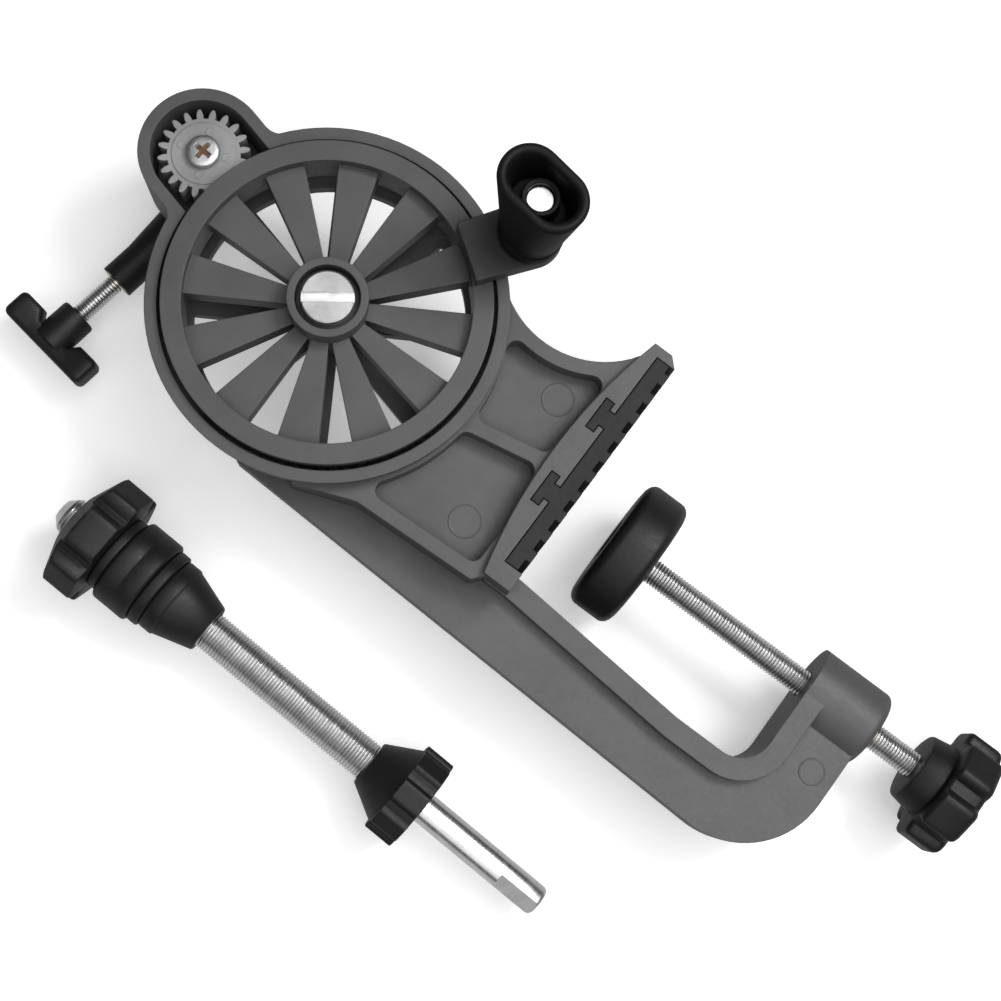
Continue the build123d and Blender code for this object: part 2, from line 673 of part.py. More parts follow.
def crank_arm():
    """The arm on the flange that carries the grip."""
    end = Pos(CRANK_RADIUS, 0) * Circle(CRANK_END_RADIUS)
    root_x = RIM_INNER_RADIUS
    body = make_face(
        Polyline(
            (root_x, -CRANK_WIDTH / 2),
            (CRANK_RADIUS, -CRANK_END_RADIUS),
            (CRANK_RADIUS, CRANK_END_RADIUS),
            (root_x, CRANK_WIDTH / 2),
            close=True,
        )
    )
    outline = body + end - Circle(RIM_INNER_RADIUS)
    arm = prism(outline, CASE_TOP + CRANK_SKIM, CRANK_TOP)
    arm += prism(outline & Circle(FLANGE_RADIUS), FLANGE_TOP - 1, CRANK_TOP)
    return Rot(0, 0, CRANK_ANGLE) * arm


def drive_wheel():
    """Flange, teeth, blades, hub and crank arm in one moulding."""
    flange_low = FLANGE_TOP - FLANGE_THICKNESS
    teeth = prism(gear_outline(WHEEL_TEETH, wheel_turn()), gear_low, flange_low)
    flange = rod(FLANGE_RADIUS, flange_low, FLANGE_TOP)
    rim = teeth + flange - rod(RIM_INNER_RADIUS, gear_low - 1, FLANGE_TOP + 1)
    blade = make_face(
        Polyline(
            (HUB_RADIUS - 2, -SPOKE_INNER_WIDTH / 2),
            (RIM_INNER_RADIUS + 1, -SPOKE_OUTER_WIDTH / 2),
            (RIM_INNER_RADIUS + 1, SPOKE_OUTER_WIDTH / 2),
            (HUB_RADIUS - 2, SPOKE_INNER_WIDTH / 2),
            close=True,
        )
    )
    blade_top = FLANGE_TOP - SPOKE_DROP
    blades = blade
    for index in range(1, SPOKES):
        blades += Rot(0, 0, index * 360 / SPOKES) * blade
    spokes = Rot(0, 0, CRANK_ANGLE) * prism(blades, blade_top - SPOKE_DEPTH, blade_top)
    hub = rod(HUB_RADIUS, hub_bottom, HUB_TOP)
    wheel = rim + spokes + hub + crank_arm()
    wheel -= rod(HUB_RECESS_RADIUS, HUB_TOP - HUB_RECESS_DEPTH, HUB_TOP + 1)
    wheel -= rod(AXLE_RADIUS + WHEEL_BUSH_WALL + PRESS_CLEARANCE, hub_bottom - 1, HUB_TOP)
    screw_hole = rod(GRIP_SCREW_RADIUS + PRESS_CLEARANCE, CASE_TOP - 5, CRANK_TOP + 5)
    wheel -= Pos(*polar(CRANK_RADIUS, CRANK_ANGLE)) * screw_hole
    return wheel_axis * wheel


def wheel_bush():
    """The bush in the wheel's hub."""
    top = HUB_TOP - HUB_RECESS_DEPTH
    return wheel_axis * tube(
        AXLE_RADIUS + WHEEL_BUSH_WALL, AXLE_RADIUS + RUNNING_CLEARANCE, hub_bottom, top
    )


def axle_bolt():
    """The slotted bolt that the wheel turns on."""
    bolt = rod(AXLE_RADIUS, nut_bottom - AXLE_END, head_low + 0.5)
    head = rod(AXLE_HEAD_RADIUS, head_low, head_low + AXLE_HEAD_HEIGHT)
    head = chamfer(head.edges().group_by(Axis.Z)[-1], 0.4)
    slot = Pos(0, 0, head_low + AXLE_HEAD_HEIGHT) * Box(
        3 * AXLE_HEAD_RADIUS, AXLE_SLOT_WIDTH, 2 * AXLE_SLOT_DEPTH
    )
    return wheel_axis * (bolt + head - Rot(0, 0, 36.6) * slot)


def axle_washer():
    """The dark washer under the bolt's head."""
    return wheel_axis * tube(
        AXLE_WASHER_RADIUS, AXLE_RADIUS + PRESS_CLEARANCE, washer_low, washer_low + AXLE_WASHER_THICKNESS
    )


def axle_rear_washer():
    """The washer behind the case."""
    return wheel_axis * tube(REAR_WASHER_RADIUS, AXLE_RADIUS + PRESS_CLEARANCE, nut_top, CASE_BACK)


def axle_nut():
    """The hexagon nut behind the case."""
    outline = RegularPolygon(AXLE_NUT_FLATS / 2, 6, major_radius=False)
    nut = prism(outline, nut_bottom, nut_top) - rod(AXLE_RADIUS + PRESS_CLEARANCE, -20, 20)
    return wheel_axis * nut


# ---- grip ---------------------------------------------------------------------------------------
grip_tube_top = GRIP_TOP - GRIP_TUBE_DROP
grip_head_low = grip_tube_top - GRIP_SCREW_DROP


def grip_loft(low, low_length, low_width, high, high_length, high_width):
    """A solid that widens from one long round-ended outline to another."""
    turn = Rot(0, 0, GRIP_OVAL_TURN)
    outlines = [
        Pos(0, 0, low) * (turn * SlotOverall(low_length, low_width)),
        Pos(0, 0, high) * (turn * SlotOverall(high_length, high_width)),
    ]
    return loft(outlines, ruled=True)


def handle_grip():
    """An oval flared grip: nearly round at its base, an open oval cup at its free end."""
    foot = rod(GRIP_BASE_RADIUS, GRIP_BASE, GRIP_BASE + GRIP_BASE_HEIGHT)
    low = GRIP_BASE + GRIP_BASE_HEIGHT - 1
    shell = grip_loft(low, GRIP_NECK_LENGTH, GRIP_NECK_WIDTH, GRIP_TOP, GRIP_OVAL_LENGTH, GRIP_OVAL_WIDTH)
    cup_low = GRIP_TOP - GRIP_CUP_DEPTH
    share = GRIP_CUP_DEPTH / (GRIP_TOP - low)
    cup = grip_loft(
        cup_low,
        GRIP_OVAL_LENGTH - share * (GRIP_OVAL_LENGTH - GRIP_NECK_LENGTH) - 2 * GRIP_WALL,
        GRIP_OVAL_WIDTH - share * (GRIP_OVAL_WIDTH - GRIP_NECK_WIDTH) - 2 * GRIP_WALL,
        GRIP_TOP,
        GRIP_OVAL_LENGTH - 2 * GRIP_WALL,
        GRIP_OVAL_WIDTH - 2 * GRIP_WALL,
    )
    body = foot + shell - cup
    body += rod(GRIP_TUBE_RADIUS, cup_low - 1, grip_tube_top)
    body -= rod(GRIP_SCREW_RADIUS + RUNNING_CLEARANCE, GRIP_BASE - 1, GRIP_TOP)
    body -= rod(GRIP_SCREW_HEAD_RADIUS + GRIP_HEAD_ROOM, grip_head_low - AXIAL_PLAY, GRIP_TOP + 1)
    return grip_axis * body


def handle_screw():
    """The shouldered screw that the grip turns on."""
    shank = rod(GRIP_SCREW_RADIUS, CASE_TOP + CRANK_SKIM, grip_head_low + 0.5)
    head = rod(GRIP_SCREW_HEAD_RADIUS, grip_head_low, grip_head_low + GRIP_SCREW_HEAD_HEIGHT)
    return grip_axis * (shank + head)


def handle_washer():
    """The washer between the arm and the grip."""
    return grip_axis * tube(
        GRIP_WASHER_RADIUS, GRIP_SCREW_RADIUS + PRESS_CLEARANCE, CRANK_TOP, GRIP_BASE - AXIAL_PLAY
    )


# ---- output ------------------------------------------------------------------------------------
shaft_top = PINION_TOP + PINION_BOSS_HEIGHT
front_bush_top = pinion_low - AXIAL_PLAY
shaft_low = FLOOR_Z + SOCKET_DEPTH + 0.5


def shaft_section(radius, flat):
    """A round section with one flat."""
    keep = Pos(flat - radius, 0) * Rectangle(2 * radius, 2 * radius)
    return Circle(radius) & keep


def pinion():
    """The small gear with a raised disc on its face."""
    gear = prism(gear_outline(PINION_TEETH, PINION_TURN), pinion_low, PINION_TOP)
    gear += rod(PINION_BOSS_RADIUS, PINION_TOP - 1, shaft_top)
    hole = shaft_section(SHAFT_RADIUS + PRESS_CLEARANCE, SHAFT_FLAT + PRESS_CLEARANCE)
    return pinion_axis * (gear - prism(hole, pinion_low - 1, shaft_top + 1))


def output_shaft():
    """The shaft from the pinion through the case into the socket."""
    shaft = rod(SHAFT_RADIUS, socket_top, pinion_low)
    shaft += prism(shaft_section(SHAFT_RADIUS, SHAFT_FLAT), shaft_low, shaft_top)
    shaft -= rod(PINION_SCREW_RADIUS + PRESS_CLEARANCE, shaft_top - PINION_SCREW_LENGTH - 0.5, shaft_top + 1)
    return pinion_axis * shaft


def shaft_bush_front():
    """The flanged bush on the pinion's side of the case."""
    middle = (CASE_BACK + front_bush_top) / 2
    bush = rod(SHAFT_RADIUS + SHAFT_BUSH_WALL, middle + 0.2, front_bush_top)
    bush += rod(SHAFT_BOSS_RADIUS - 0.3, front_bush_top - SHAFT_BUSH_FLANGE, front_bush_top)
    return pinion_axis * (bush - rod(SHAFT_RADIUS + RUNNING_CLEARANCE, -10, 40))


def shaft_bush_rear():
    """The flanged bush behind the case."""
    middle = (CASE_BACK + front_bush_top) / 2
    bush = rod(SHAFT_RADIUS + SHAFT_BUSH_WALL, CASE_BACK - SHAFT_BUSH_FLANGE, middle - 0.2)
    bush += rod(SHAFT_BOSS_RADIUS - 0.3, CASE_BACK - SHAFT_BUSH_FLANGE, CASE_BACK)
    return pinion_axis * (bush - rod(SHAFT_RADIUS + RUNNING_CLEARANCE, -10, 40))


def pinion_screw():
    """The pan-headed screw that holds the pinion."""
    shank = rod(PINION_SCREW_RADIUS, shaft_top - PINION_SCREW_LENGTH, shaft_top + 0.5)
    head = rod(PINION_SCREW_HEAD_RADIUS, shaft_top, shaft_top + PINION_SCREW_HEAD_HEIGHT)
    head = fillet(head.edges().group_by(Axis.Z)[-1], PINION_SCREW_HEAD_HEIGHT / 2)
    return pinion_axis * (shank + head)


def spindle_chuck():
    """The socket behind the case, with its side boss for the wing screw."""
    body = turned(
        (0, FLOOR_Z), (SOCKET_FOOT_RADIUS, FLOOR_Z), (SOCKET_TOP_RADIUS, socket_top), (0, socket_top)
    )
    side = turned(
        (0, 0),
        (LOCK_BOSS_ROOT_RADIUS, 0),
        (LOCK_BOSS_ROOT_RADIUS, SOCKET_TOP_RADIUS + 4),
        (LOCK_BOSS_END_RADIUS, LOCK_BOSS_REACH - 10),
        (LOCK_BOSS_END_RADIUS, LOCK_BOSS_REACH),
        (0, LOCK_BOSS_REACH),
    )
    chuck = pinion_axis * body + lock_axis * side
    chuck -= pinion_axis * rod(socket_radius, FLOOR_Z - 1, FLOOR_Z + SOCKET_DEPTH)
    hole = shaft_section(SHAFT_RADIUS + PRESS_CLEARANCE, SHAFT_FLAT + PRESS_CLEARANCE)
    chuck -= pinion_axis * prism(hole, shaft_low - 1, socket_top + 1)
    chuck -= lock_axis * rod(LOCK_STUD_RADIUS + RUNNING_CLEARANCE, 0, LOCK_BOSS_REACH)
    insert_start = LOCK_BOSS_REACH - LOCK_INSERT_LENGTH
    chuck -= lock_axis * rod(LOCK_INSERT_RADIUS + PRESS_CLEARANCE, insert_start, LOCK_BOSS_REACH + 1)
    return chuck


def lock_thread_insert():
    """The metal insert in the side boss."""
    start = LOCK_BOSS_REACH - LOCK_INSERT_LENGTH
    return lock_axis * tube(
        LOCK_INSERT_RADIUS, LOCK_STUD_RADIUS + RUNNING_CLEARANCE, start, LOCK_BOSS_REACH
    )


wing_start = LOCK_BOSS_REACH + WING_GAP
wing_bar_start = wing_start + WING_NECK_LENGTH


def lock_stud():
    """The threaded stud of the wing screw."""
    end = wing_start + WING_HOLE_DEPTH - 0.5
    stud = rod(LOCK_STUD_RADIUS, socket_radius + LOCK_TRAVEL, end)
    return lock_axis * chamfer(stud.edges().group_by(Axis.Z)[0], 0.5)


def lock_wing():
    """The T-shaped wing moulded on the stud, its bar waisted beside the neck."""
    end = wing_bar_start + WING_BAR_THICKNESS
    waist = end - WING_BAR_WAIST
    half = WING_BAR_LENGTH / 2
    side = make_face(
        Polyline(
            (-half, wing_bar_start),
            (-half / 2, wing_bar_start),
            (-WING_NECK_RADIUS, waist),
            (WING_NECK_RADIUS, waist),
            (half / 2, wing_bar_start),
            (half, wing_bar_start),
            (half, end),
            (-half, end),
            close=True,
        )
    )
    bar = extrude(Rot(0, 90, 90) * side, WING_BAR_WIDTH / 2, both=True)
    bar = fillet(bar.edges().filter_by(Axis.X).group_by(Axis.Y)[0], WING_END_ROUND)
    bar = fillet(bar.edges().filter_by(Axis.X).group_by(Axis.Y)[-1], WING_END_ROUND)
    neck_part = rod(WING_NECK_RADIUS, wing_start, end)
    hole = rod(LOCK_STUD_RADIUS + RUNNING_CLEARANCE, wing_start - 1, wing_start + WING_HOLE_DEPTH)
    return lock_axis * (bar + neck_part - hole)


# ---- table clamp ---------------------------------------------------------------------------------
foot_recess_x = FOOT_FACE_X + FOOT_RECESS_DEPTH
nose_end_x = foot_recess_x - 2 * FOOT_RING_THICKNESS - 0.5
ring_start_x = foot_recess_x - FOOT_RING_THICKNESS - AXIAL_PLAY


def pressure_foot():
    """The round foot that presses up against the table's underside."""
    edge = FOOT_EDGE_ROUND
    body = turned(
        (0, FOOT_FACE_X),
        (FOOT_RADIUS - edge, FOOT_FACE_X),
        (FOOT_RADIUS, FOOT_FACE_X + edge),
        (FOOT_RADIUS, foot_back_x - edge),
        (FOOT_RADIUS - edge, foot_back_x),
        (0, foot_back_x),
    )
    body -= rod(FOOT_RECESS_RADIUS, FOOT_FACE_X - 1, foot_recess_x)
    body -= rod(FOOT_NOSE_RADIUS + RUNNING_CLEARANCE, FOOT_FACE_X, foot_back_x + 1)
    return screw_axis * body


def clamp_screw():
    """The long screw with the nose that turns in the foot."""
    screw = rod(SCREW_RADIUS, foot_back_x + AXIAL_PLAY, KNOB_START_X + KNOB_HOLE_DEPTH - 0.5)
    screw += rod(FOOT_NOSE_RADIUS, nose_end_x, foot_back_x + 1)
    groove = tube(
        FOOT_NOSE_RADIUS + 1, FOOT_NOSE_RADIUS - FOOT_RING_GROOVE,
        ring_start_x, ring_start_x + FOOT_RING_THICKNESS,
    )
    return screw_axis * (screw - groove)


def foot_retaining_ring():
    """The ring that keeps the foot on the screw's nose."""
    return screw_axis * tube(
        FOOT_RING_RADIUS, FOOT_NOSE_RADIUS - FOOT_RING_GROOVE + PRESS_CLEARANCE,
        ring_start_x + 0.02, ring_start_x + FOOT_RING_THICKNESS - 0.02,
    )


def clamp_knob():
    """The lobed knob of the clamp screw."""
    body_start = KNOB_START_X + KNOB_COLLAR_LENGTH
    end = body_start + KNOB_BODY_LENGTH
    outline = lobed_outline(KNOB_LOBES, KNOB_RADIUS, KNOB_VALLEY_RADIUS, KNOB_LOBE_WIDTH)
    lobes = prism(outline, body_start, end)
    round_off = turned(
        (0, body_start - 1),
        (KNOB_RADIUS + 2, body_start - 1),
        (KNOB_RADIUS + 2, end - KNOB_EDGE),
        (KNOB_RADIUS - 1, end),
        (0, end),
    )
    knob = (lobes & round_off) + turned(
        (0, KNOB_START_X),
        (KNOB_COLLAR_RADIUS - KNOB_COLLAR_TAPER, KNOB_START_X),
        (KNOB_COLLAR_RADIUS, body_start + 0.5),
        (0, body_start + 0.5),
    )
    knob -= rod(SCREW_RADIUS + PRESS_CLEARANCE, KNOB_START_X - 1, KNOB_START_X + KNOB_HOLE_DEPTH)
    return screw_axis * knob


# ---- spool spindle ---------------------------------------------------------------------------------
outer_washer_start = nut_end
collar_start = outer_washer_start + OUTER_WASHER_THICKNESS
inner_washer_start = collar_start + COLLAR_LENGTH
cone_start = inner_washer_start + INNER_WASHER_THICKNESS
rod_bore = ROD_RADIUS + RUNNING_CLEARANCE


def spool_spindle():
    """The threaded rod with its polished shank and end flat."""
    body = turned(
        (0, 0),
        (ROD_RADIUS - ROD_TIP_CHAMFER, 0),
        (ROD_RADIUS, ROD_TIP_CHAMFER),
        (ROD_RADIUS, cone_end),
        (SHANK_RADIUS, cone_end),
        (SHANK_RADIUS, SPINDLE_LENGTH - SHANK_CHAMFER),
        (SHANK_RADIUS - SHANK_CHAMFER, SPINDLE_LENGTH),
        (0, SPINDLE_LENGTH),
    )
    size = 2 * SHANK_RADIUS
    flat = Pos(SHANK_RADIUS - SHANK_FLAT_DEPTH, 0, SPINDLE_LENGTH - SHANK_FLAT_LENGTH) * Box(
        size, size, size + SHANK_FLAT_LENGTH, align=(Align.MIN, Align.CENTER, Align.MIN)
    )
    return spindle_axis * (body - Rot(0, 0, SHANK_FLAT_TURN) * flat)


def fixed_cone():
    """The cone fixed on the rod's end, with a lobed rim."""
    cone = turned(
        (0, FIXED_CONE_START),
        (FIXED_CONE_FRONT_RADIUS, FIXED_CONE_START),
        (FIXED_CONE_BASE_RADIUS, cone_rim_start),
        (FIXED_CONE_BASE_RADIUS, cone_end),
        (0, cone_end),
    )
    outline = lobed_outline(
        FIXED_CONE_LOBES, FIXED_CONE_RIM_RADIUS, FIXED_CONE_RIM_VALLEY, FIXED_CONE_LOBE_WIDTH, turn=90
    )
    edges = turned(
        (0, cone_rim_start),
        (FIXED_CONE_RIM_RADIUS - FIXED_CONE_EDGE, cone_rim_start),
        (FIXED_CONE_RIM_RADIUS + FIXED_CONE_EDGE, cone_rim_start + 2 * FIXED_CONE_EDGE),
        (FIXED_CONE_RIM_RADIUS + FIXED_CONE_EDGE, cone_end - 2 * FIXED_CONE_EDGE),
        (FIXED_CONE_RIM_RADIUS - FIXED_CONE_EDGE, cone_end),
        (0, cone_end),
    )
    cone += prism(outline, cone_rim_start, cone_end) & edges
    return spindle_axis * (cone - rod(ROD_RADIUS + PRESS_CLEARANCE, FIXED_CONE_START - 1, cone_end + 1))


def sliding_cone():
    """The cone that slides along the rod into the spool's bore."""
    cone = turned(
        (0, cone_start),
        (CONE_RIM_RADIUS, cone_start),
        (CONE_RIM_RADIUS, cone_start + CONE_RIM_LENGTH),
        (CONE_SMALL_RADIUS, cone_start + CONE_RIM_LENGTH + CONE_LENGTH),
        (0, cone_start + CONE_RIM_LENGTH + CONE_LENGTH),
    )
    return spindle_axis * (cone - rod(rod_bore, 0, 100))


def spindle_ring(radius, start, length, edge):
    """A ring on the rod with chamfered edges."""
    ring = turned(
        (0, start),
        (radius - edge, start),
        (radius, start + edge),
        (radius, start + length - edge),
        (radius - edge, start + length),
        (0, start + length),
    )
    return spindle_axis * (ring - rod(rod_bore, 0, 100))


def spool_nut():
    """The lobed nut, tapered towards the rod's tip."""
    outline = lobed_outline(NUT_LOBES, NUT_RADIUS, NUT_VALLEY_RADIUS, NUT_LOBE_WIDTH, turn=90)
    taper = turned(
        (0, NUT_START),
        (NUT_FACE_RADIUS, NUT_START),
        (NUT_RADIUS + 2, NUT_START + NUT_TAPER_LENGTH),
        (NUT_RADIUS + 2, nut_end + 1),
        (0, nut_end + 1),
    )
    nut = prism(outline, NUT_START, nut_end) & taper
    return spindle_axis * (nut - rod(rod_bore, 0, 100))


# ---- export -------------------------------------------------------------------------------------
nodes = {
    "clamp_frame": clamp_frame(),
    "jaw_pad": jaw_pad(),
    "clamp_thread_insert": clamp_thread_insert(),
    "axle_bolt": axle_bolt(),
    "axle_washer": axle_washer(),
    "axle_rear_washer": axle_rear_washer(),
    "axle_nut": axle_nut(),
    "shaft_bush_front": shaft_bush_front(),
    "shaft_bush_rear": shaft_bush_rear(),
    "drive_wheel": drive_wheel(),
    "wheel_bush": wheel_bush(),
    "handle_grip": handle_grip(),
    "handle_screw": handle_screw(),
    "handle_washer": handle_washer(),
    "pinion": pinion(),
    "pinion_screw": pinion_screw(),
    "output_shaft": output_shaft(),
    "spindle_chuck": spindle_chuck(),
    "lock_thread_insert": lock_thread_insert(),
    "lock_stud": lock_stud(),
    "lock_wing": lock_wing(),
    "pressure_foot": pressure_foot(),
    "foot_retaining_ring": foot_retaining_ring(),
    "clamp_screw": clamp_screw(),
    "clamp_knob": clamp_knob(),
    "spool_spindle": spool_spindle(),
    "fixed_cone": fixed_cone(),
    "sliding_cone": sliding_cone(),
    "inner_washer": spindle_ring(
        INNER_WASHER_RADIUS, inner_washer_start, INNER_WASHER_THICKNESS, 0.4
    ),
    "spool_collar": spindle_ring(COLLAR_RADIUS, collar_start, COLLAR_LENGTH, 1.0),
    "outer_washer": spindle_ring(
        OUTER_WASHER_RADIUS, outer_washer_start, OUTER_WASHER_THICKNESS, 0.4
    ),
    "spool_nut": spool_nut(),
}

os.makedirs("parts", exist_ok=True)
for name, shape in nodes.items():
    export_step(shape, f"parts/{name}.step")
    print(f"{name}: {len(shape.solids())} solid(s)")
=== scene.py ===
"""Looks of a hand-cranked fishing line winder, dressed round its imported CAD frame.

Lengths in the classes are millimetres, as in the CAD source. A piece is shaped round its own
axis, along local Z, and Place then puts its mesh into the model in metres, so every finished
object stands at the origin, unturned and unscaled.
"""

import logging
import math
from collections.abc import Sequence
from dataclasses import dataclass
from enum import Enum

import bmesh
import bpy
from mathutils import Matrix, Vector

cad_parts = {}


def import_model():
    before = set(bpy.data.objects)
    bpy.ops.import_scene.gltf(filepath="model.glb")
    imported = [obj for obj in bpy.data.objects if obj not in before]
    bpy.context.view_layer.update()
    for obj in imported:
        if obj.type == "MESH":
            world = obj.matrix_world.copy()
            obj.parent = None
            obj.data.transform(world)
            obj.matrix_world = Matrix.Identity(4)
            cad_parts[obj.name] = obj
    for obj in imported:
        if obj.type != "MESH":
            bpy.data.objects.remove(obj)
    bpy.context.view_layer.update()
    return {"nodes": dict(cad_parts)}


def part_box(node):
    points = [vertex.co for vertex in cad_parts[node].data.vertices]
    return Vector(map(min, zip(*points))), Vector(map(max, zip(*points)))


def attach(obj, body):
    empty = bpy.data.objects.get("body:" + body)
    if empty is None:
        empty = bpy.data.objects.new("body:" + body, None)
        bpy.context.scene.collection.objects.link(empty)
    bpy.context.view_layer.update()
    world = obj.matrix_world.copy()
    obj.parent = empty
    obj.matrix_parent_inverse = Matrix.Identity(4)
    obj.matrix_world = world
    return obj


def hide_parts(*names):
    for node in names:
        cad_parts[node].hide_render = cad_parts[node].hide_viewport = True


logging.basicConfig(level=logging.INFO, format="%(message)s")
LOG = logging.getLogger("line_winder")
MM = 0.001  # metres in a millimetre
MERGE = 1e-5  # millimetres within which a point lies on a cutting plane
MIX_FACTOR, MIX_COLOURS, MIX_RESULT = 0, (6, 7), 2  # numbers of a Mix node's colour sockets
CRISP_THREAD, CRISP_TURNED = 70.0, 30.0  # degrees of turn above which an edge stays crisp

Socket = bpy.types.NodeSocket
Colour = tuple[float, float, float]
Point = tuple[float, float, float]
Feed = Socket | float | Sequence[float]


# ---- places ---------------------------------------------------------------------------------
@dataclass(frozen=True)
class Place:
    """An axis of the model that pieces are shaped round."""

    origin: Point = (0.0, 0.0, 0.0)
    along: Point = (0.0, 0.0, 1.0)
    across: Point = (1.0, 0.0, 0.0)

    def turn(self) -> Matrix:
        """Gives the turn from local directions to the model's.

        Returns:
            A 3 by 3 rotation.
        """
        z = Vector(self.along).normalized()
        x = Vector(self.across)
        x = (x - z * x.dot(z)).normalized()
        return Matrix((x, z.cross(x), z)).transposed()

    def matrix(self) -> Matrix:
        """Gives the move from local millimetres to the model's metres.

        Returns:
            A 4 by 4 transform.
        """
        return Matrix.Scale(MM, 4) @ Matrix.Translation(Vector(self.origin)) @ self.turn().to_4x4()


MODEL = Place()
WHEEL = Place((-90.0, 1.5, 0.0))
PINION = Place((-145.427911, 15.217021, 0.0))
GRIP = Place((-55.671218, 50.709128, 0.0))
CLAMP = Place((0.0, 0.0, 0.0), (1.0, 0.0, 0.0), (0.0, 1.0, 0.0))
LOCK = Place((-145.427911, 15.217021, -10.0), (-0.1529858, -0.9882284, 0.0), (0.0, 0.0, 1.0))
SPINDLE = Place(
    (-119.7, -89.4, -4.541938), (0.9983823, -0.0453363, -0.0343145), (-0.045363, -0.9989706, 0.0),
)


# ---- finishes -------------------------------------------------------------------------------
def grey(level: float) -> Colour:
    """Gives a colour without a tint.

    Args:
        level: its linear brightness.

    Returns:
        Linear red, green and blue.
    """
    return level, level, level


class Lay(Enum):
    """The way a metal piece's fine tool marks run."""

    AROUND = "around"
    FACE = "face"
    CAST = "cast"


class Graph:
    """A small helper that adds and links shader nodes."""

    def __init__(self, name: str) -> None:
        """Starts an empty node material.

        Args:
            name: the material's name.
        """
        self.material: bpy.types.Material = bpy.data.materials.new(name)
        self.material.use_nodes = True
        self.tree: bpy.types.NodeTree = self.material.node_tree
        self.tree.nodes.clear()
        self.output: bpy.types.Node = self.tree.nodes.new("ShaderNodeOutputMaterial")
        self.coordinates: Socket = self.tree.nodes.new("ShaderNodeTexCoord").outputs["Object"]

    def node(
        self, kind: str, output: str | int, feeds: dict[str | int, Feed], **settings: object,
    ) -> Socket:
        """Adds a node, feeds its inputs and gives one of its outputs.

        Args:
            kind: the node type's identifier.
            output: the output's name or number.
            feeds: names or numbers of inputs, each with a value or another node's socket.
            settings: property names with their values.

        Returns:
            The output's socket.
        """
        node = self.tree.nodes.new(kind)
        for key, value in settings.items():
            setattr(node, key, value)
        for key, feed in feeds.items():
            if isinstance(feed, Socket):
                self.tree.links.new(feed, node.inputs[key])
            else:
                node.inputs[key].default_value = feed
        return node.outputs[output]

    def ended(self, shader: Socket) -> bpy.types.Material:
        """Ends the material.

        Args:
            shader: the finished surface.

        Returns:
            The material.
        """
        self.tree.links.new(shader, self.output.inputs["Surface"])
        return self.material

    def noise(self, scale: float, detail: float, source: Socket | None = None) -> Socket:
        """Adds a noise texture on Object coordinates.

        Args:
            scale: features per metre.
            detail: octaves.
            source: other coordinates, such as a Mapping node's.

        Returns:
            The noise's factor socket.
        """
        feeds = {"Scale": scale, "Detail": detail, "Vector": source or self.coordinates}
        return self.node("ShaderNodeTexNoise", "Fac", feeds)

    def ramp(self, source: Socket, low: float, high: float, start: float, end: float) -> Socket:
        """Maps a factor from one range to another, clamped.

        Args:
            source: the factor.
            low: input at the start value.
            high: input at the end value.
            start: output at or below low.
            end: output at or above high.

        Returns:
            The mapped value's socket.
        """
        feeds = {"Value": source, "From Min": low, "From Max": high, "To Min": start, "To Max": end}
        return self.node("ShaderNodeMapRange", "Result", feeds)

    def blend(self, factor: Socket, first: Colour | Socket, second: Colour | Socket) -> Socket:
        """Mixes two colours by a factor.

        Args:
            factor: 0 for the first colour, 1 for the second.
            first: linear red, green and blue, or a colour's socket.
            second: the same for the other colour.

        Returns:
            The colour's socket.
        """
        colours = [c if isinstance(c, Socket) else (*c, 1.0) for c in (first, second)]
        feeds = dict(zip((MIX_FACTOR, *MIX_COLOURS), (factor, *colours)))
        return self.node("ShaderNodeMix", MIX_RESULT, feeds, data_type="RGBA")

    def combine(self, operation: str, first: Socket, second: Socket | float) -> Socket:
        """Works out a value from two.

        Args:
            operation: the Math node's operation.
            first: the first value's socket.
            second: the second value's socket, or a number.

        Returns:
            The result's socket.
        """
        return self.node("ShaderNodeMath", "Value", {0: first, 1: second}, operation=operation)

    def distance(self, source: Socket, x: float = 0.0, y: float = 0.0) -> Socket:
        """Measures how far a point lies from an upright axis.

        Args:
            source: the coordinates, in metres.
            x: the axis's place along X, in millimetres.
            y: its place along Y.

        Returns:
            The distance's socket, in metres.
        """
        kind = "ShaderNodeVectorMath"
        flat = self.node(kind, "Vector", {0: source, 1: (1.0, 1.0, 0.0)}, operation="MULTIPLY")
        ends = {0: flat, 1: (x * MM, y * MM, 0.0)}
        return self.node(kind, "Value", ends, operation="DISTANCE")

    def darkened(self, colour: Socket, factor: Socket) -> Socket:
        """Multiplies a colour by a factor.

        Args:
            colour: the colour's socket.
            factor: the factor's socket.

        Returns:
            The darkened colour's socket.
        """
        feeds = {0: colour, "Scale": factor}
        return self.node("ShaderNodeVectorMath", "Vector", feeds, operation="SCALE")

    def local(self, place: Place) -> Socket:
        """Gives Object coordinates measured from a piece's own axis, in metres.

        Args:
            place: the axis, which becomes Z.

        Returns:
            The vector's socket.
        """
        feeds = {
            "Vector": self.coordinates,
            "Location": Vector(place.origin) * MM,
            "Rotation": place.turn().to_euler(),
        }
        return self.node("ShaderNodeMapping", "Vector", feeds, vector_type="TEXTURE")

    def stretched(self, source: Socket, scale: Point) -> Socket:
        """Scales coordinates by axis.

        Args:
            source: the coordinates.
            scale: factors along X, Y and Z.

        Returns:
            The vector's socket.
        """
        return self.node("ShaderNodeMapping", "Vector", {"Vector": source, "Scale": scale})

    def rounded_edges(self, radius: float) -> Socket:
        """Normals that round a mesh's edges, in shading only.

        Args:
            radius: of the rounding, in metres.

        Returns:
            The normal's socket.
        """
        return self.node("ShaderNodeBevel", "Normal", {"Radius": radius}, samples=6)

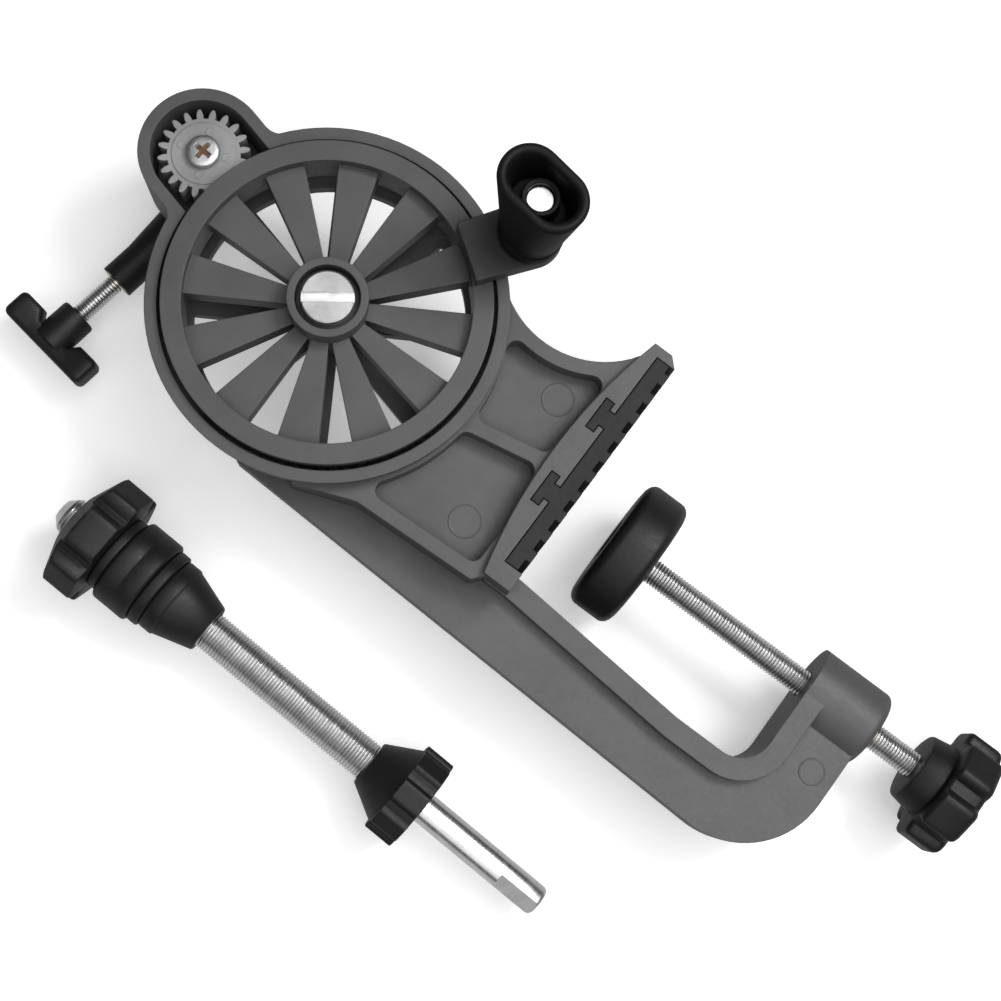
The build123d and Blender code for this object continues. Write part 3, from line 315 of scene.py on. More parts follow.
    def bump(self, height: Socket, distance: float, strength: float, normal: Socket) -> Socket:
        """Adds a bump on top of other normals.

        Args:
            height: the height's factor.
            distance: metres for a height of 1.
            strength: share of the bump.
            normal: normals under it.

        Returns:
            The normal's socket.
        """
        feeds = {"Height": height, "Distance": distance, "Strength": strength, "Normal": normal}
        return self.node("ShaderNodeBump", "Normal", feeds)


@dataclass(frozen=True)
class PaintedShadowSpot:
    """A round place painted darker, a painted shadow, in millimetres, seen along Z."""

    x: float
    y: float
    inner: float
    outer: float
    share: float


@dataclass(frozen=True)
class MouldedPlastic:
    """Moulded plastic with a fine eroded grain, slight mottling, edges painted brighter as a painted
    highlight, painted shade in its corners and an optional round painted shadow.
    """

    name: str
    colour: Colour
    roughness: float = 0.55
    grain: float = 2600.0
    grain_depth: float = 0.00004
    grain_strength: float = 0.6
    mottle: float = 0.12
    mottle_scale: float = 70.0
    speck_scale: float = 900.0
    edge_radius: float = 0.0005
    # How much brighter the painted highlight on edges is, and the span of edge it covers.
    highlight_lift: float = 1.35
    highlight_span: tuple[float, float] = (0.80, 0.97)
    gloss: float = 0.5
    # Painted shade in narrow corners: its share, reach and span.
    corner_shade: float = 0.45
    shade_reach: float = 0.004
    shade_span: tuple[float, float] = (0.25, 0.85)
    # Painted shadow at one round place.
    painted_shadow: PaintedShadowSpot | None = None

    def material(self) -> bpy.types.Material:
        """Builds the finish.

        Returns:
            The node material.
        """
        graph = Graph(self.name)
        speck = graph.noise(self.speck_scale, 4.0)
        rounded = graph.rounded_edges(self.edge_radius)
        # Edges painted brighter in broken patches: a painted highlight.
        highlight_colour = tuple(c * self.highlight_lift for c in self.colour)
        colour = graph.blend(self.painted_edge_highlight(graph, rounded, speck), self.mottled(graph), highlight_colour)
        # Painted shade in narrow corners.
        colour = graph.darkened(colour, self.painted_corner_shade(graph))
        # Painted shadow at one round place.
        if self.painted_shadow is not None:
            colour = graph.darkened(colour, self.painted_shadow_mask(graph))
        fine = graph.noise(self.grain, 2.0)
        feeds = {
            "Base Color": colour,
            "Roughness": graph.ramp(speck, 0.3, 0.7, self.roughness - 0.05, self.roughness + 0.07),
            "Normal": graph.bump(fine, self.grain_depth, self.grain_strength, rounded),
            "Specular IOR Level": self.gloss,
        }
        return graph.ended(graph.node("ShaderNodeBsdfPrincipled", "BSDF", feeds))

    def mottled(self, graph: Graph) -> Socket:
        """Gives the plastic's own colour with its cloudy mottling.

        Args:
            graph: the material's graph.

        Returns:
            The colour's socket.
        """
        dark = tuple(c * (1 - self.mottle) for c in self.colour)
        light = tuple(c * (1 + self.mottle) for c in self.colour)
        cloud = graph.noise(self.mottle_scale, 3.0)
        return graph.blend(graph.ramp(cloud, 0.3, 0.7, 0.0, 1.0), dark, light)

    def painted_edge_highlight(self, graph: Graph, rounded: Socket, speck: Socket) -> Socket:
        """Finds the edges that are painted brighter, a painted highlight, in broken patches.

        Args:
            graph: the material's graph.
            rounded: normals that round the edges.
            speck: the noise that breaks the patches up.

        Returns:
            A factor from 0 on faces to 1 on edges with the painted highlight.
        """
        flat = graph.node("ShaderNodeNewGeometry", "True Normal", {})
        ends = {0: rounded, 1: flat}
        turned = graph.node("ShaderNodeVectorMath", "Value", ends, operation="DOT_PRODUCT")
        edge = graph.ramp(turned, *self.highlight_span, 1.0, 0.0)
        return graph.combine("MULTIPLY", edge, graph.ramp(speck, 0.35, 0.65, 0.3, 1.0))

    def painted_corner_shade(self, graph: Graph) -> Socket:
        """Finds the narrow corners that are painted darker: painted shade.

        Args:
            graph: the material's graph.

        Returns:
            A factor from the painted shade's share in corners to 1 in the open.
        """
        feeds = {"Distance": self.shade_reach}
        open_share = graph.node("ShaderNodeAmbientOcclusion", "AO", feeds, samples=6, only_local=False)
        return graph.ramp(open_share, *self.shade_span, 1.0 - self.corner_shade, 1.0)

    def painted_shadow_mask(self, graph: Graph) -> Socket:
        """Finds the round place of painted shadow.

        Args:
            graph: the material's graph.

        Returns:
            A factor from the painted shadow's share at the place to 1 away from it.
        """
        spot = self.painted_shadow
        away = graph.distance(graph.coordinates, spot.x, spot.y)
        return graph.ramp(away, spot.inner * MM, spot.outer * MM, spot.share, 1.0)


@dataclass(frozen=True)
class BrightMetal:
    """Plated or turned metal with fine tool marks, cloudy dull patches, and optional painted shade in thread
    roots and on one face.
    """

    name: str
    colour: Colour
    place: Place = MODEL
    roughness: float = 0.28
    lay: Lay = Lay.AROUND
    marks: float = 0.2
    mark_depth: float = 0.00003
    around_scale: Point = (40.0, 40.0, 5200.0)
    cast_scale: float = 1700.0
    ring_scale: float = 900.0
    cloud_scale: float = 260.0
    dull_share: float = 0.86
    edge_radius: float = 0.0002
    thread: tuple[float, float] | None = None
    # Share of the painted shade in the thread's roots.
    root_shade: float = 0.5
    # Painted shade on the face above a height: where it starts, its rise and its share.
    shaded_above: float | None = None
    shade_rise: float = 0.3
    face_shade: float = 0.68

    def material(self) -> bpy.types.Material:
        """Builds the finish.

        Returns:
            The node material.
        """
        graph = Graph(self.name)
        local = graph.local(self.place)
        marks = self.tool_marks(graph, local)
        dull = tuple(c * self.dull_share for c in self.colour)
        cloud = graph.noise(self.cloud_scale, 4.0)
        colour = graph.blend(graph.ramp(cloud, 0.36, 0.64, 0.0, 1.0), dull, self.colour)
        # Painted shade in the thread's roots.
        if self.thread is not None:
            colour = graph.darkened(colour, self.painted_root_shade(graph, local))
        # Painted shade on the face, darker than the slot cut into it.
        if self.shaded_above is not None:
            colour = graph.darkened(colour, self.painted_face_shade(graph, local))
        rounded = graph.rounded_edges(self.edge_radius)
        feeds = {
            "Base Color": colour,
            "Metallic": 1.0,
            "Roughness": graph.ramp(marks, 0.3, 0.7, self.roughness * 0.8, self.roughness * 1.45),
            "Normal": graph.bump(marks, self.mark_depth, self.marks, rounded),
        }
        return graph.ended(graph.node("ShaderNodeBsdfPrincipled", "BSDF", feeds))

    def tool_marks(self, graph: Graph, local: Socket) -> Socket:
        """Draws the fine marks that the tool or the mould left.

        Args:
            graph: the material's graph.
            local: coordinates round the piece's own axis.

        Returns:
            The marks' height as a factor.
        """
        if self.lay is Lay.AROUND:
            return graph.noise(1.0, 2.0, graph.stretched(local, self.around_scale))
        if self.lay is Lay.CAST:
            return graph.noise(self.cast_scale, 4.0, local)
        feeds = {
            "Vector": local, "Scale": self.ring_scale, "Distortion": 3.0, "Detail": 3.0, "Detail Scale": 2.0,
        }
        return graph.node("ShaderNodeTexWave", "Fac", feeds, wave_type="RINGS", rings_direction="Z")

    def painted_root_shade(self, graph: Graph, local: Socket) -> Socket:
        """Finds the thread's roots, which are painted darker: painted shade.

        Args:
            graph: the material's graph.
            local: coordinates round the screw's own axis.

        Returns:
            A factor from the roots' share to 1 on the crests and on plain lengths.
        """
        root, crest = self.thread
        depth = crest - root
        away = graph.distance(local)
        outside = graph.ramp(away, root * MM, (root + 0.4 * depth) * MM, self.root_shade, 1.0)
        inside = graph.ramp(
            away, (root - 0.7 * depth) * MM, (root - 0.4 * depth) * MM, 1.0, self.root_shade,
        )
        return graph.combine("MAXIMUM", outside, inside)

    def painted_face_shade(self, graph: Graph, local: Socket) -> Socket:
        """Finds the face that is painted darker than what is cut into it: painted shade.

        Args:
            graph: the material's graph.
            local: coordinates round the piece's own axis.

        Returns:
            A factor from 1 below the face to the painted shade's share on it.
        """
        height = graph.node("ShaderNodeSeparateXYZ", "Z", {0: local})
        low, high = self.shaded_above, self.shaded_above + self.shade_rise
        return graph.ramp(height, low * MM, high * MM, 1.0, self.face_shade)


# ---- studio ---------------------------------------------------------------------------------
@dataclass(frozen=True)
class Lamp:
    """A soft square lamp, in metres and watts."""

    name: str
    place: Point
    size: float
    watts: float


@dataclass(frozen=True)
class Studio:
    """Camera, floor and lights. The camera and the floor are placed in millimetres, the lamps in metres."""

    camera_place: Point = (-2.376, -87.010, 498.863)
    camera_turn: Point = (8.1, -3.8, 36.5935)
    focal_pixels: float = 1700.0
    frame_pixels: float = 1001.0
    sensor_width: float = 36.0
    floor: float = -24.0
    floor_gap: float = 0.1
    floor_reach: float = 4000.0
    floor_shade: float = 0.88
    floor_bounce: float = 0.15
    floor_glow: float = 0.36
    world_level: float = 0.08
    lamp_target: Point = (-0.02, 0.0, 0.0)
    lamps: tuple[Lamp, ...] = (
        Lamp("broad_lamp", (0.32, 0.10, 1.05), 1.15, 9.6),
        Lamp("key_lamp", (0.30, 0.62, 1.05), 0.35, 6.2),
        Lamp("fill_lamp", (0.10, -0.72, 0.88), 1.0, 3.0),
    )

    def camera(self) -> None:
        """Places the camera at the photograph's viewpoint."""
        data = bpy.data.cameras.new("view_camera")
        data.sensor_width = self.sensor_width
        data.lens = self.sensor_width * self.focal_pixels / self.frame_pixels
        data.clip_start = 0.01
        data.clip_end = 20.0
        camera = bpy.data.objects.new("view_camera", data)
        camera.location = Vector(self.camera_place) * MM
        camera.rotation_euler = [math.radians(a) for a in self.camera_turn]
        bpy.context.scene.collection.objects.link(camera)
        bpy.context.scene.camera = camera

    def ground(self) -> None:
        """Lays the pale floor just under the object."""
        mesh = bpy.data.meshes.new("studio_floor")
        bm = bmesh.new()
        bmesh.ops.create_grid(bm, x_segments=2, y_segments=2, size=self.floor_reach * MM)
        bmesh.ops.translate(bm, verts=bm.verts, vec=(0, 0, (self.floor - self.floor_gap) * MM))
        bm.to_mesh(mesh)
        bm.free()
        mesh.materials.append(self.floor_material())
        floor = bpy.data.objects.new("studio_floor", mesh)
        bpy.context.scene.collection.objects.link(floor)

    def floor_material(self) -> bpy.types.Material:
        """Makes the floor white to the camera and in reflections, and dim in the light it throws back.

        Returns:
            The node material.
        """
        graph = Graph("pale_floor")
        by_camera, by_mirror, by_glass = (
            graph.node("ShaderNodeLightPath", name, {})
            for name in ("Is Camera Ray", "Is Glossy Ray", "Is Transmission Ray")
        )
        seen = graph.combine("MAXIMUM", graph.combine("MAXIMUM", by_camera, by_mirror), by_glass)
        shade = graph.blend(by_camera, grey(self.floor_bounce), grey(self.floor_shade))
        glow = {"Color": (*grey(1.0), 1.0), "Strength": graph.combine("MULTIPLY", seen, self.floor_glow)}
        layers = {
            0: graph.node("ShaderNodeBsdfDiffuse", "BSDF", {"Color": shade}),
            1: graph.node("ShaderNodeEmission", "Emission", glow),
        }
        return graph.ended(graph.node("ShaderNodeAddShader", "Shader", layers))

    def hang(self, lamp: Lamp) -> None:
        """Hangs a lamp and turns it to the object.

        Args:
            lamp: the lamp.
        """
        data = bpy.data.lights.new(lamp.name, "AREA")
        data.size = lamp.size
        data.energy = lamp.watts
        made = bpy.data.objects.new(lamp.name, data)
        made.location = lamp.place
        way = Vector(self.lamp_target) - Vector(lamp.place)
        made.rotation_euler = way.to_track_quat("-Z", "Y").to_euler()
        bpy.context.scene.collection.objects.link(made)

    def lights(self) -> None:
        """Sets the lamps and the world."""
        for lamp in self.lamps:
            self.hang(lamp)
        world = bpy.data.worlds.new("studio_world")
        world.use_nodes = True
        background = world.node_tree.nodes["Background"]
        background.inputs["Color"].default_value = (1.0, 1.0, 1.0, 1.0)
        background.inputs["Strength"].default_value = self.world_level
        bpy.context.scene.world = world
        bpy.context.scene.view_settings.view_transform = "Standard"

    def build(self) -> None:
        """Makes the whole studio."""
        self.camera()
        self.ground()
        self.lights()


# ---- shaping --------------------------------------------------------------------------------
@dataclass(frozen=True)
class Round:
    """A round outline about a piece's axis."""

    radius: float

    def at(self, angle: float) -> float:
        """Gives the outline's radius in one direction."""
        return self.radius


@dataclass(frozen=True)
class Lobed:
    """An outline of blunt lobes standing out of a round core, with softened corners."""

    radius: float
    valley: float
    width: float
    lobes: int
    turn: float = 0.0
    limit: float = 1000.0
    softness: float = 9.0

    def at(self, angle: float) -> float:
        """Gives the outline's radius in one direction.

        Args:
            angle: the direction, in radians.

        Returns:
            The radius, no more than the limit.
        """
        step = 2 * math.pi / self.lobes
        away = (angle - math.radians(self.turn) + step / 2) % step - step / 2
        along = abs(math.cos(away)) / self.radius
        aside = abs(math.sin(away)) / (self.width / 2)
        lobe = (along**self.softness + aside**self.softness) ** (-1 / self.softness)
        return min(max(lobe, self.valley), self.limit)


@dataclass(frozen=True)
class Oval:
    """A long outline with round ends."""

    length: float
    width: float
    turn: float = 0.0

    def at(self, angle: float) -> float:
        """Gives the outline's radius in one direction.

        Args:
            angle: the direction, in radians.

        Returns:
            The radius.
        """
        away = angle - math.radians(self.turn)
        along, aside = abs(math.cos(away)), abs(math.sin(away))
        half, end = (self.length - self.width) / 2, self.width / 2
        if aside > 0 and end / aside * along <= half:
            return end / aside
        return half * along + math.sqrt(max(end * end - half * half * aside * aside, 0.0))


@dataclass(frozen=True)
class Cross:
    """The outline of a cross recess, four blunt arms."""

    arm: float
    width: float
    turn: float = 0.0

    def at(self, angle: float) -> float:
        """Gives the outline's radius in one direction.

        Args:
            angle: the direction, in radians.

        Returns:
            The radius.
        """
        away = angle - math.radians(self.turn)
        along, aside = max(abs(math.cos(away)), 1e-6), max(abs(math.sin(away)), 1e-6)
        half = self.width / 2
        return max(min(self.arm / along, half / aside), min(half / along, self.arm / aside))


Outline = Round | Lobed | Oval | Cross
Level = tuple[Outline, float]
Profile = list[tuple[float, float]]


def quarter_round(radius: float, face: float, inset: float, rise: float, steps: int) -> Profile:
    """Lists the points of a rounded edge, from its face out to its side.

    Args:
        radius: of the side.
        face: height of the face.
        inset: how far inside the side the face ends.
        rise: how far above the face the side begins, or below it where negative.
        steps: divisions of the quarter turn.

    Returns:
        Pairs of radius and height.
    """
    turns = [math.radians(90 / steps * step) for step in range(steps + 1)]
    return [(radius - inset * (1 - math.sin(t)), face + rise * (1 - math.cos(t))) for t in turns]


class Shape:
    """A mesh in the making, in millimetres round a piece's own axis."""

    def __init__(self) -> None:
        """Starts with nothing."""
        self.bm: bmesh.types.BMesh = bmesh.new()

    def skin(self, levels: Sequence[Level], segments: int) -> list[bmesh.types.BMVert]:
        """Draws a closed skin through outlines stacked along the axis.

        Args:
            levels: outlines with their heights, in order. Where the last equals the first, the
                skin closes on itself, and otherwise both ends are capped.
            segments: points round each outline.

        Returns:
            The skin's points.
        """
        made = bmesh.ops.create_circle(self.bm, cap_ends=False, radius=1.0, segments=segments)
        loop = list(dict.fromkeys(e for v in made["verts"] for e in v.link_edges))
        verts = made["verts"]
        skin = list(verts)
        self.settle(verts, levels[0])
        for level in levels[1:]:
            grown = bmesh.ops.extrude_edge_only(self.bm, edges=loop)
            verts = [g for g in grown["geom"] if isinstance(g, bmesh.types.BMVert)]
            fresh = set(verts)
            loop = [
                g for g in grown["geom"]
                if isinstance(g, bmesh.types.BMEdge) and set(g.verts) <= fresh
            ]
            skin += verts
            self.settle(verts, level)
        if levels[0] != levels[-1]:
            ends = dict.fromkeys(e for v in skin for e in v.link_edges if e.is_boundary)
            bmesh.ops.holes_fill(self.bm, edges=list(ends), sides=0)
        bmesh.ops.remove_doubles(self.bm, verts=skin, dist=1e-4)
        return [vert for vert in skin if vert.is_valid]

    @staticmethod
    def settle(verts: Sequence[bmesh.types.BMVert], level: Level) -> None:
        """Moves a ring of points onto an outline at its height.

        Args:
            verts: the ring.
            level: the outline with its height.
        """
        outline, height = level
        for vert in verts:
            angle = math.atan2(vert.co.y, vert.co.x)
            radius = outline.at(angle)
            vert.co = (radius * math.cos(angle), radius * math.sin(angle), height)

    def turned(self, profile: Profile, segments: int) -> list[bmesh.types.BMVert]:
        """Turns a profile of radius and height round the axis.

        Args:
            profile: the points, closed like a skin's levels.
            segments: points round the axis.

        Returns:
            The skin's points.
        """
        return self.skin([(Round(radius), height) for radius, height in profile], segments)

    def cut(self, at: Point, facing: Point, clear: bool = False) -> None:
        """Cuts the mesh along a plane.

        Args:
            at: a point of the plane.
            facing: the plane's normal.
            clear: whether what lies on the normal's side is taken away.
        """
        bmesh.ops.bisect_plane(
            self.bm, geom=self.bm.verts[:] + self.bm.edges[:] + self.bm.faces[:], dist=MERGE,
            plane_co=at, plane_no=facing, clear_outer=clear,
        )

    def thread(
        self, crest: float, root: float, pitch: float, low: float, high: float, steps: int,
    ) -> None:
        """Winds a screw thread by spinning its toothed profile once, one pitch up.

        Args:
            crest: radius outside.
            root: radius at the bottom of the groove.
            pitch: rise of a turn.
            low: height of the thread's flat start.
            high: height of its flat end.
            steps: divisions of a turn.
        """
        turns = math.ceil((high - low) / pitch) + 2
        first = self.bm.verts.new((root, 0.0, low - pitch))
        line: list[bmesh.types.BMVert] = [first]
        edges: list[bmesh.types.BMEdge] = []
        for turn in range(turns):
            base = low + (turn - 1) * pitch
            for radius, share in ((root, 0.18), (crest, 0.52), (crest, 0.66), (root, 1.0)):
                line.append(self.bm.verts.new((radius, 0.0, base + share * pitch)))
                edges.append(self.bm.edges.new((line[-2], line[-1])))
        bmesh.ops.spin(
            self.bm, geom=line + edges, cent=(0, 0, 0), axis=(0, 0, 1), dvec=(0, 0, pitch / steps),
            angle=2 * math.pi, steps=steps, use_merge=False,
        )
        bmesh.ops.remove_doubles(self.bm, verts=self.bm.verts, dist=0.01)
        self.cut((0, 0, low), (0, 0, -1), clear=True)
        self.cut((0, 0, high), (0, 0, 1), clear=True)
        bmesh.ops.holes_fill(self.bm, edges=[e for e in self.bm.edges if e.is_boundary], sides=0)

    def taper(self, start: float, radius: float, rise: float) -> None:
        """Turns the points near one end down to a cone.

        Args:
            start: height of the end.
            radius: the cone's radius there.
            rise: radius gained for each millimetre along.
        """
        for vert in self.bm.verts:
            limit = radius + rise * abs(vert.co.z - start)
            now = math.hypot(vert.co.x, vert.co.y)
            if now > limit:
                vert.co.x *= limit / now
                vert.co.y *= limit / now

    def flat(self, turn: float, distance: float, start: float) -> None:
        """Files a flat on one side, from a height to the end.

        Args:
            turn: the flat's direction, in degrees.
            distance: of the flat from the axis.
            start: height where it begins.
        """
        way = Vector((math.cos(math.radians(turn)), math.sin(math.radians(turn)), 0))
        for height in (start, start - 0.02):
            self.cut((0, 0, height), (0, 0, 1))
        near = [f for f in self.bm.faces if f.calc_center_median().z > start - 0.01]
        parts = dict.fromkeys(near)
        parts |= dict.fromkeys(e for f in near for e in f.edges)
        parts |= dict.fromkeys(v for f in near for v in f.verts)
        bmesh.ops.bisect_plane(
            self.bm, geom=list(parts), dist=MERGE, plane_co=way * distance, plane_no=way,
        )
        for vert in self.bm.verts:
            over = vert.co.dot(way) - distance
            if over > 0 and vert.co.z > start - 1e-3:
                vert.co -= way * over

    def soften(self, radius: float, angle: float, segments: int) -> None:
        """Rounds the sharp edges.

        Args:
            radius: of the rounding.
            angle: edges that turn by more degrees than this are rounded.
            segments: faces across the rounding.
        """
        bmesh.ops.recalc_face_normals(self.bm, faces=self.bm.faces)
        sharp = [
            e for e in self.bm.edges
            if len(e.link_faces) == 2 and e.calc_face_angle(0.0) > math.radians(angle)
        ]
        bmesh.ops.bevel(
            self.bm, geom=sharp, offset=radius, offset_type="OFFSET", segments=segments, profile=0.5,
            affect="EDGES", clamp_overlap=True, material=-1,
        )

    def piece(
        self, name: str, place: Place, body: str, material: bpy.types.Material,
        smooth: float = 35.0,
    ) -> bpy.types.Object:
        """Puts the mesh into the model as a finished piece.

        Args:
            name: the piece's name.
            place: the axis it is shaped round.
            body: the CAD body it moves with.
            material: its finish.
            smooth: edges that turn by more degrees than this stay crisp.

        Returns:
            The new object, riding on its body.
        """
        bmesh.ops.recalc_face_normals(self.bm, faces=self.bm.faces)
        self.bm.transform(place.matrix())
        mesh = bpy.data.meshes.new(name)
        self.bm.to_mesh(mesh)
        open_edges = sum(1 for e in self.bm.edges if len(e.link_faces) != 2)
        self.bm.free()
        mesh.shade_smooth()
        mesh.set_sharp_from_angle(angle=math.radians(smooth))
        mesh.materials.append(material)
        made = bpy.data.objects.new(name, mesh)
        bpy.context.scene.collection.objects.link(made)
        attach(made, body)
        LOG.info("%s: %d faces, %d open edges", name, len(mesh.polygons), open_edges)
        return made


# ---- the winder's finishes ------------------------------------------------------------------
class Finishes:
    """Every finish of the winder, made once."""

    def __init__(self) -> None:
        """Builds the materials."""
        self.frame = MouldedPlastic("frame_moulding", grey(0.080), 0.5).material()
        # The crank arm is painted darker: a painted shadow of the grip.
        crank_shadow = PaintedShadowSpot(GRIP.origin[0] - 3.0, GRIP.origin[1] - 2.0, 9.0, 24.0, 0.16)
        self.wheel = MouldedPlastic("wheel_moulding", grey(0.074), 0.5, painted_shadow=crank_shadow).material()
        self.pinion = MouldedPlastic(
            "pinion_moulding", grey(0.27), 0.5, grain=1500.0, grain_depth=0.00012, mottle=0.2,
        ).material()
        self.pad = MouldedPlastic("pad_rubber", grey(0.030), 0.75, gloss=0.3).material()
        self.black = MouldedPlastic(
            "black_moulding", grey(0.009), 0.45, highlight_lift=1.6, gloss=0.32,
        ).material()
        self.grip = MouldedPlastic(
            "grip_moulding", grey(0.005), 0.55, highlight_lift=1.5, gloss=0.22,
        ).material()
        self.chuck = MouldedPlastic("chuck_moulding", grey(0.012), 0.5, gloss=0.3).material()
        self.bush = MouldedPlastic("bush_moulding", grey(0.018), 0.4, gloss=0.35).material()
        steel = grey(0.86)
        self.wheel_steel = BrightMetal("wheel_hardware_steel", steel, WHEEL, 0.30).material()
        # The bolt head's face is painted darker than its slot: painted shade.
        slot_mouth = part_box("axle_bolt")[1][2] / MM - 1.0
        self.bolt_steel = BrightMetal(
            "axle_bolt_steel", grey(0.90), WHEEL, 0.42, Lay.FACE, 0.7, shaded_above=slot_mouth,
        ).material()
        self.pinion_steel = BrightMetal(
            "pinion_screw_steel", grey(0.60), PINION, 0.42, Lay.CAST, 0.6,
        ).material()
        self.copper = BrightMetal(
            "recess_copper", (0.26, 0.14, 0.085), PINION, 0.36, Lay.CAST, 0.6,
        ).material()
        self.grip_steel = BrightMetal("grip_screw_steel", grey(0.75), GRIP, 0.25).material()
        # The thread roots of the screws and the spindle get painted shade.
        self.clamp_steel = BrightMetal(
            "clamp_screw_steel", steel, CLAMP, 0.26, thread=(3.5, 4.0),
        ).material()
        self.lock_steel = BrightMetal(
            "lock_stud_steel", steel, LOCK, 0.26, thread=(2.58, 3.0),
        ).material()
        self.spindle_steel = BrightMetal(
            "spindle_steel", steel, SPINDLE, 0.25, thread=(5.48, 6.0),
        ).material()
        self.brass = BrightMetal("insert_brass", (0.60, 0.44, 0.20), MODEL, 0.3).material()


@dataclass
class CarriedNodes:
    """The CAD nodes that stay in view, with the finish each one gets."""

    finishes: Finishes
    nodes: dict[str, bpy.types.Object]

    def dress(self) -> None:
        """Gives each CAD node its material."""
        plan = {
            "frame": ["clamp_frame"],
            "wheel": ["drive_wheel"],
            "pinion": ["pinion"],
            "pad": ["jaw_pad"],
            "grip": ["handle_grip"],
            "chuck": ["spindle_chuck"],
            "black": [
                "lock_wing", "pressure_foot", "clamp_knob", "fixed_cone", "sliding_cone", "inner_washer",
                "spool_collar", "outer_washer", "spool_nut",
            ],
            "bush": ["axle_washer", "shaft_bush_front", "shaft_bush_rear", "wheel_bush"],
            "wheel_steel": ["axle_rear_washer", "axle_nut"],
            "bolt_steel": ["axle_bolt"],
            "pinion_steel": ["pinion_screw", "output_shaft"],
            "grip_steel": ["handle_screw", "handle_washer"],
            "lock_steel": ["lock_stud"],
            "clamp_steel": ["foot_retaining_ring", "clamp_screw"],
            "spindle_steel": ["spool_spindle"],
            "brass": ["clamp_thread_insert", "lock_thread_insert"],
        }
        for finish, names in plan.items():
            material = getattr(self.finishes, finish)
            for name in names:
                for slot in self.nodes[name].material_slots:
                    slot.material = material
            LOG.info("%s: %s", finish, ", ".join(names))


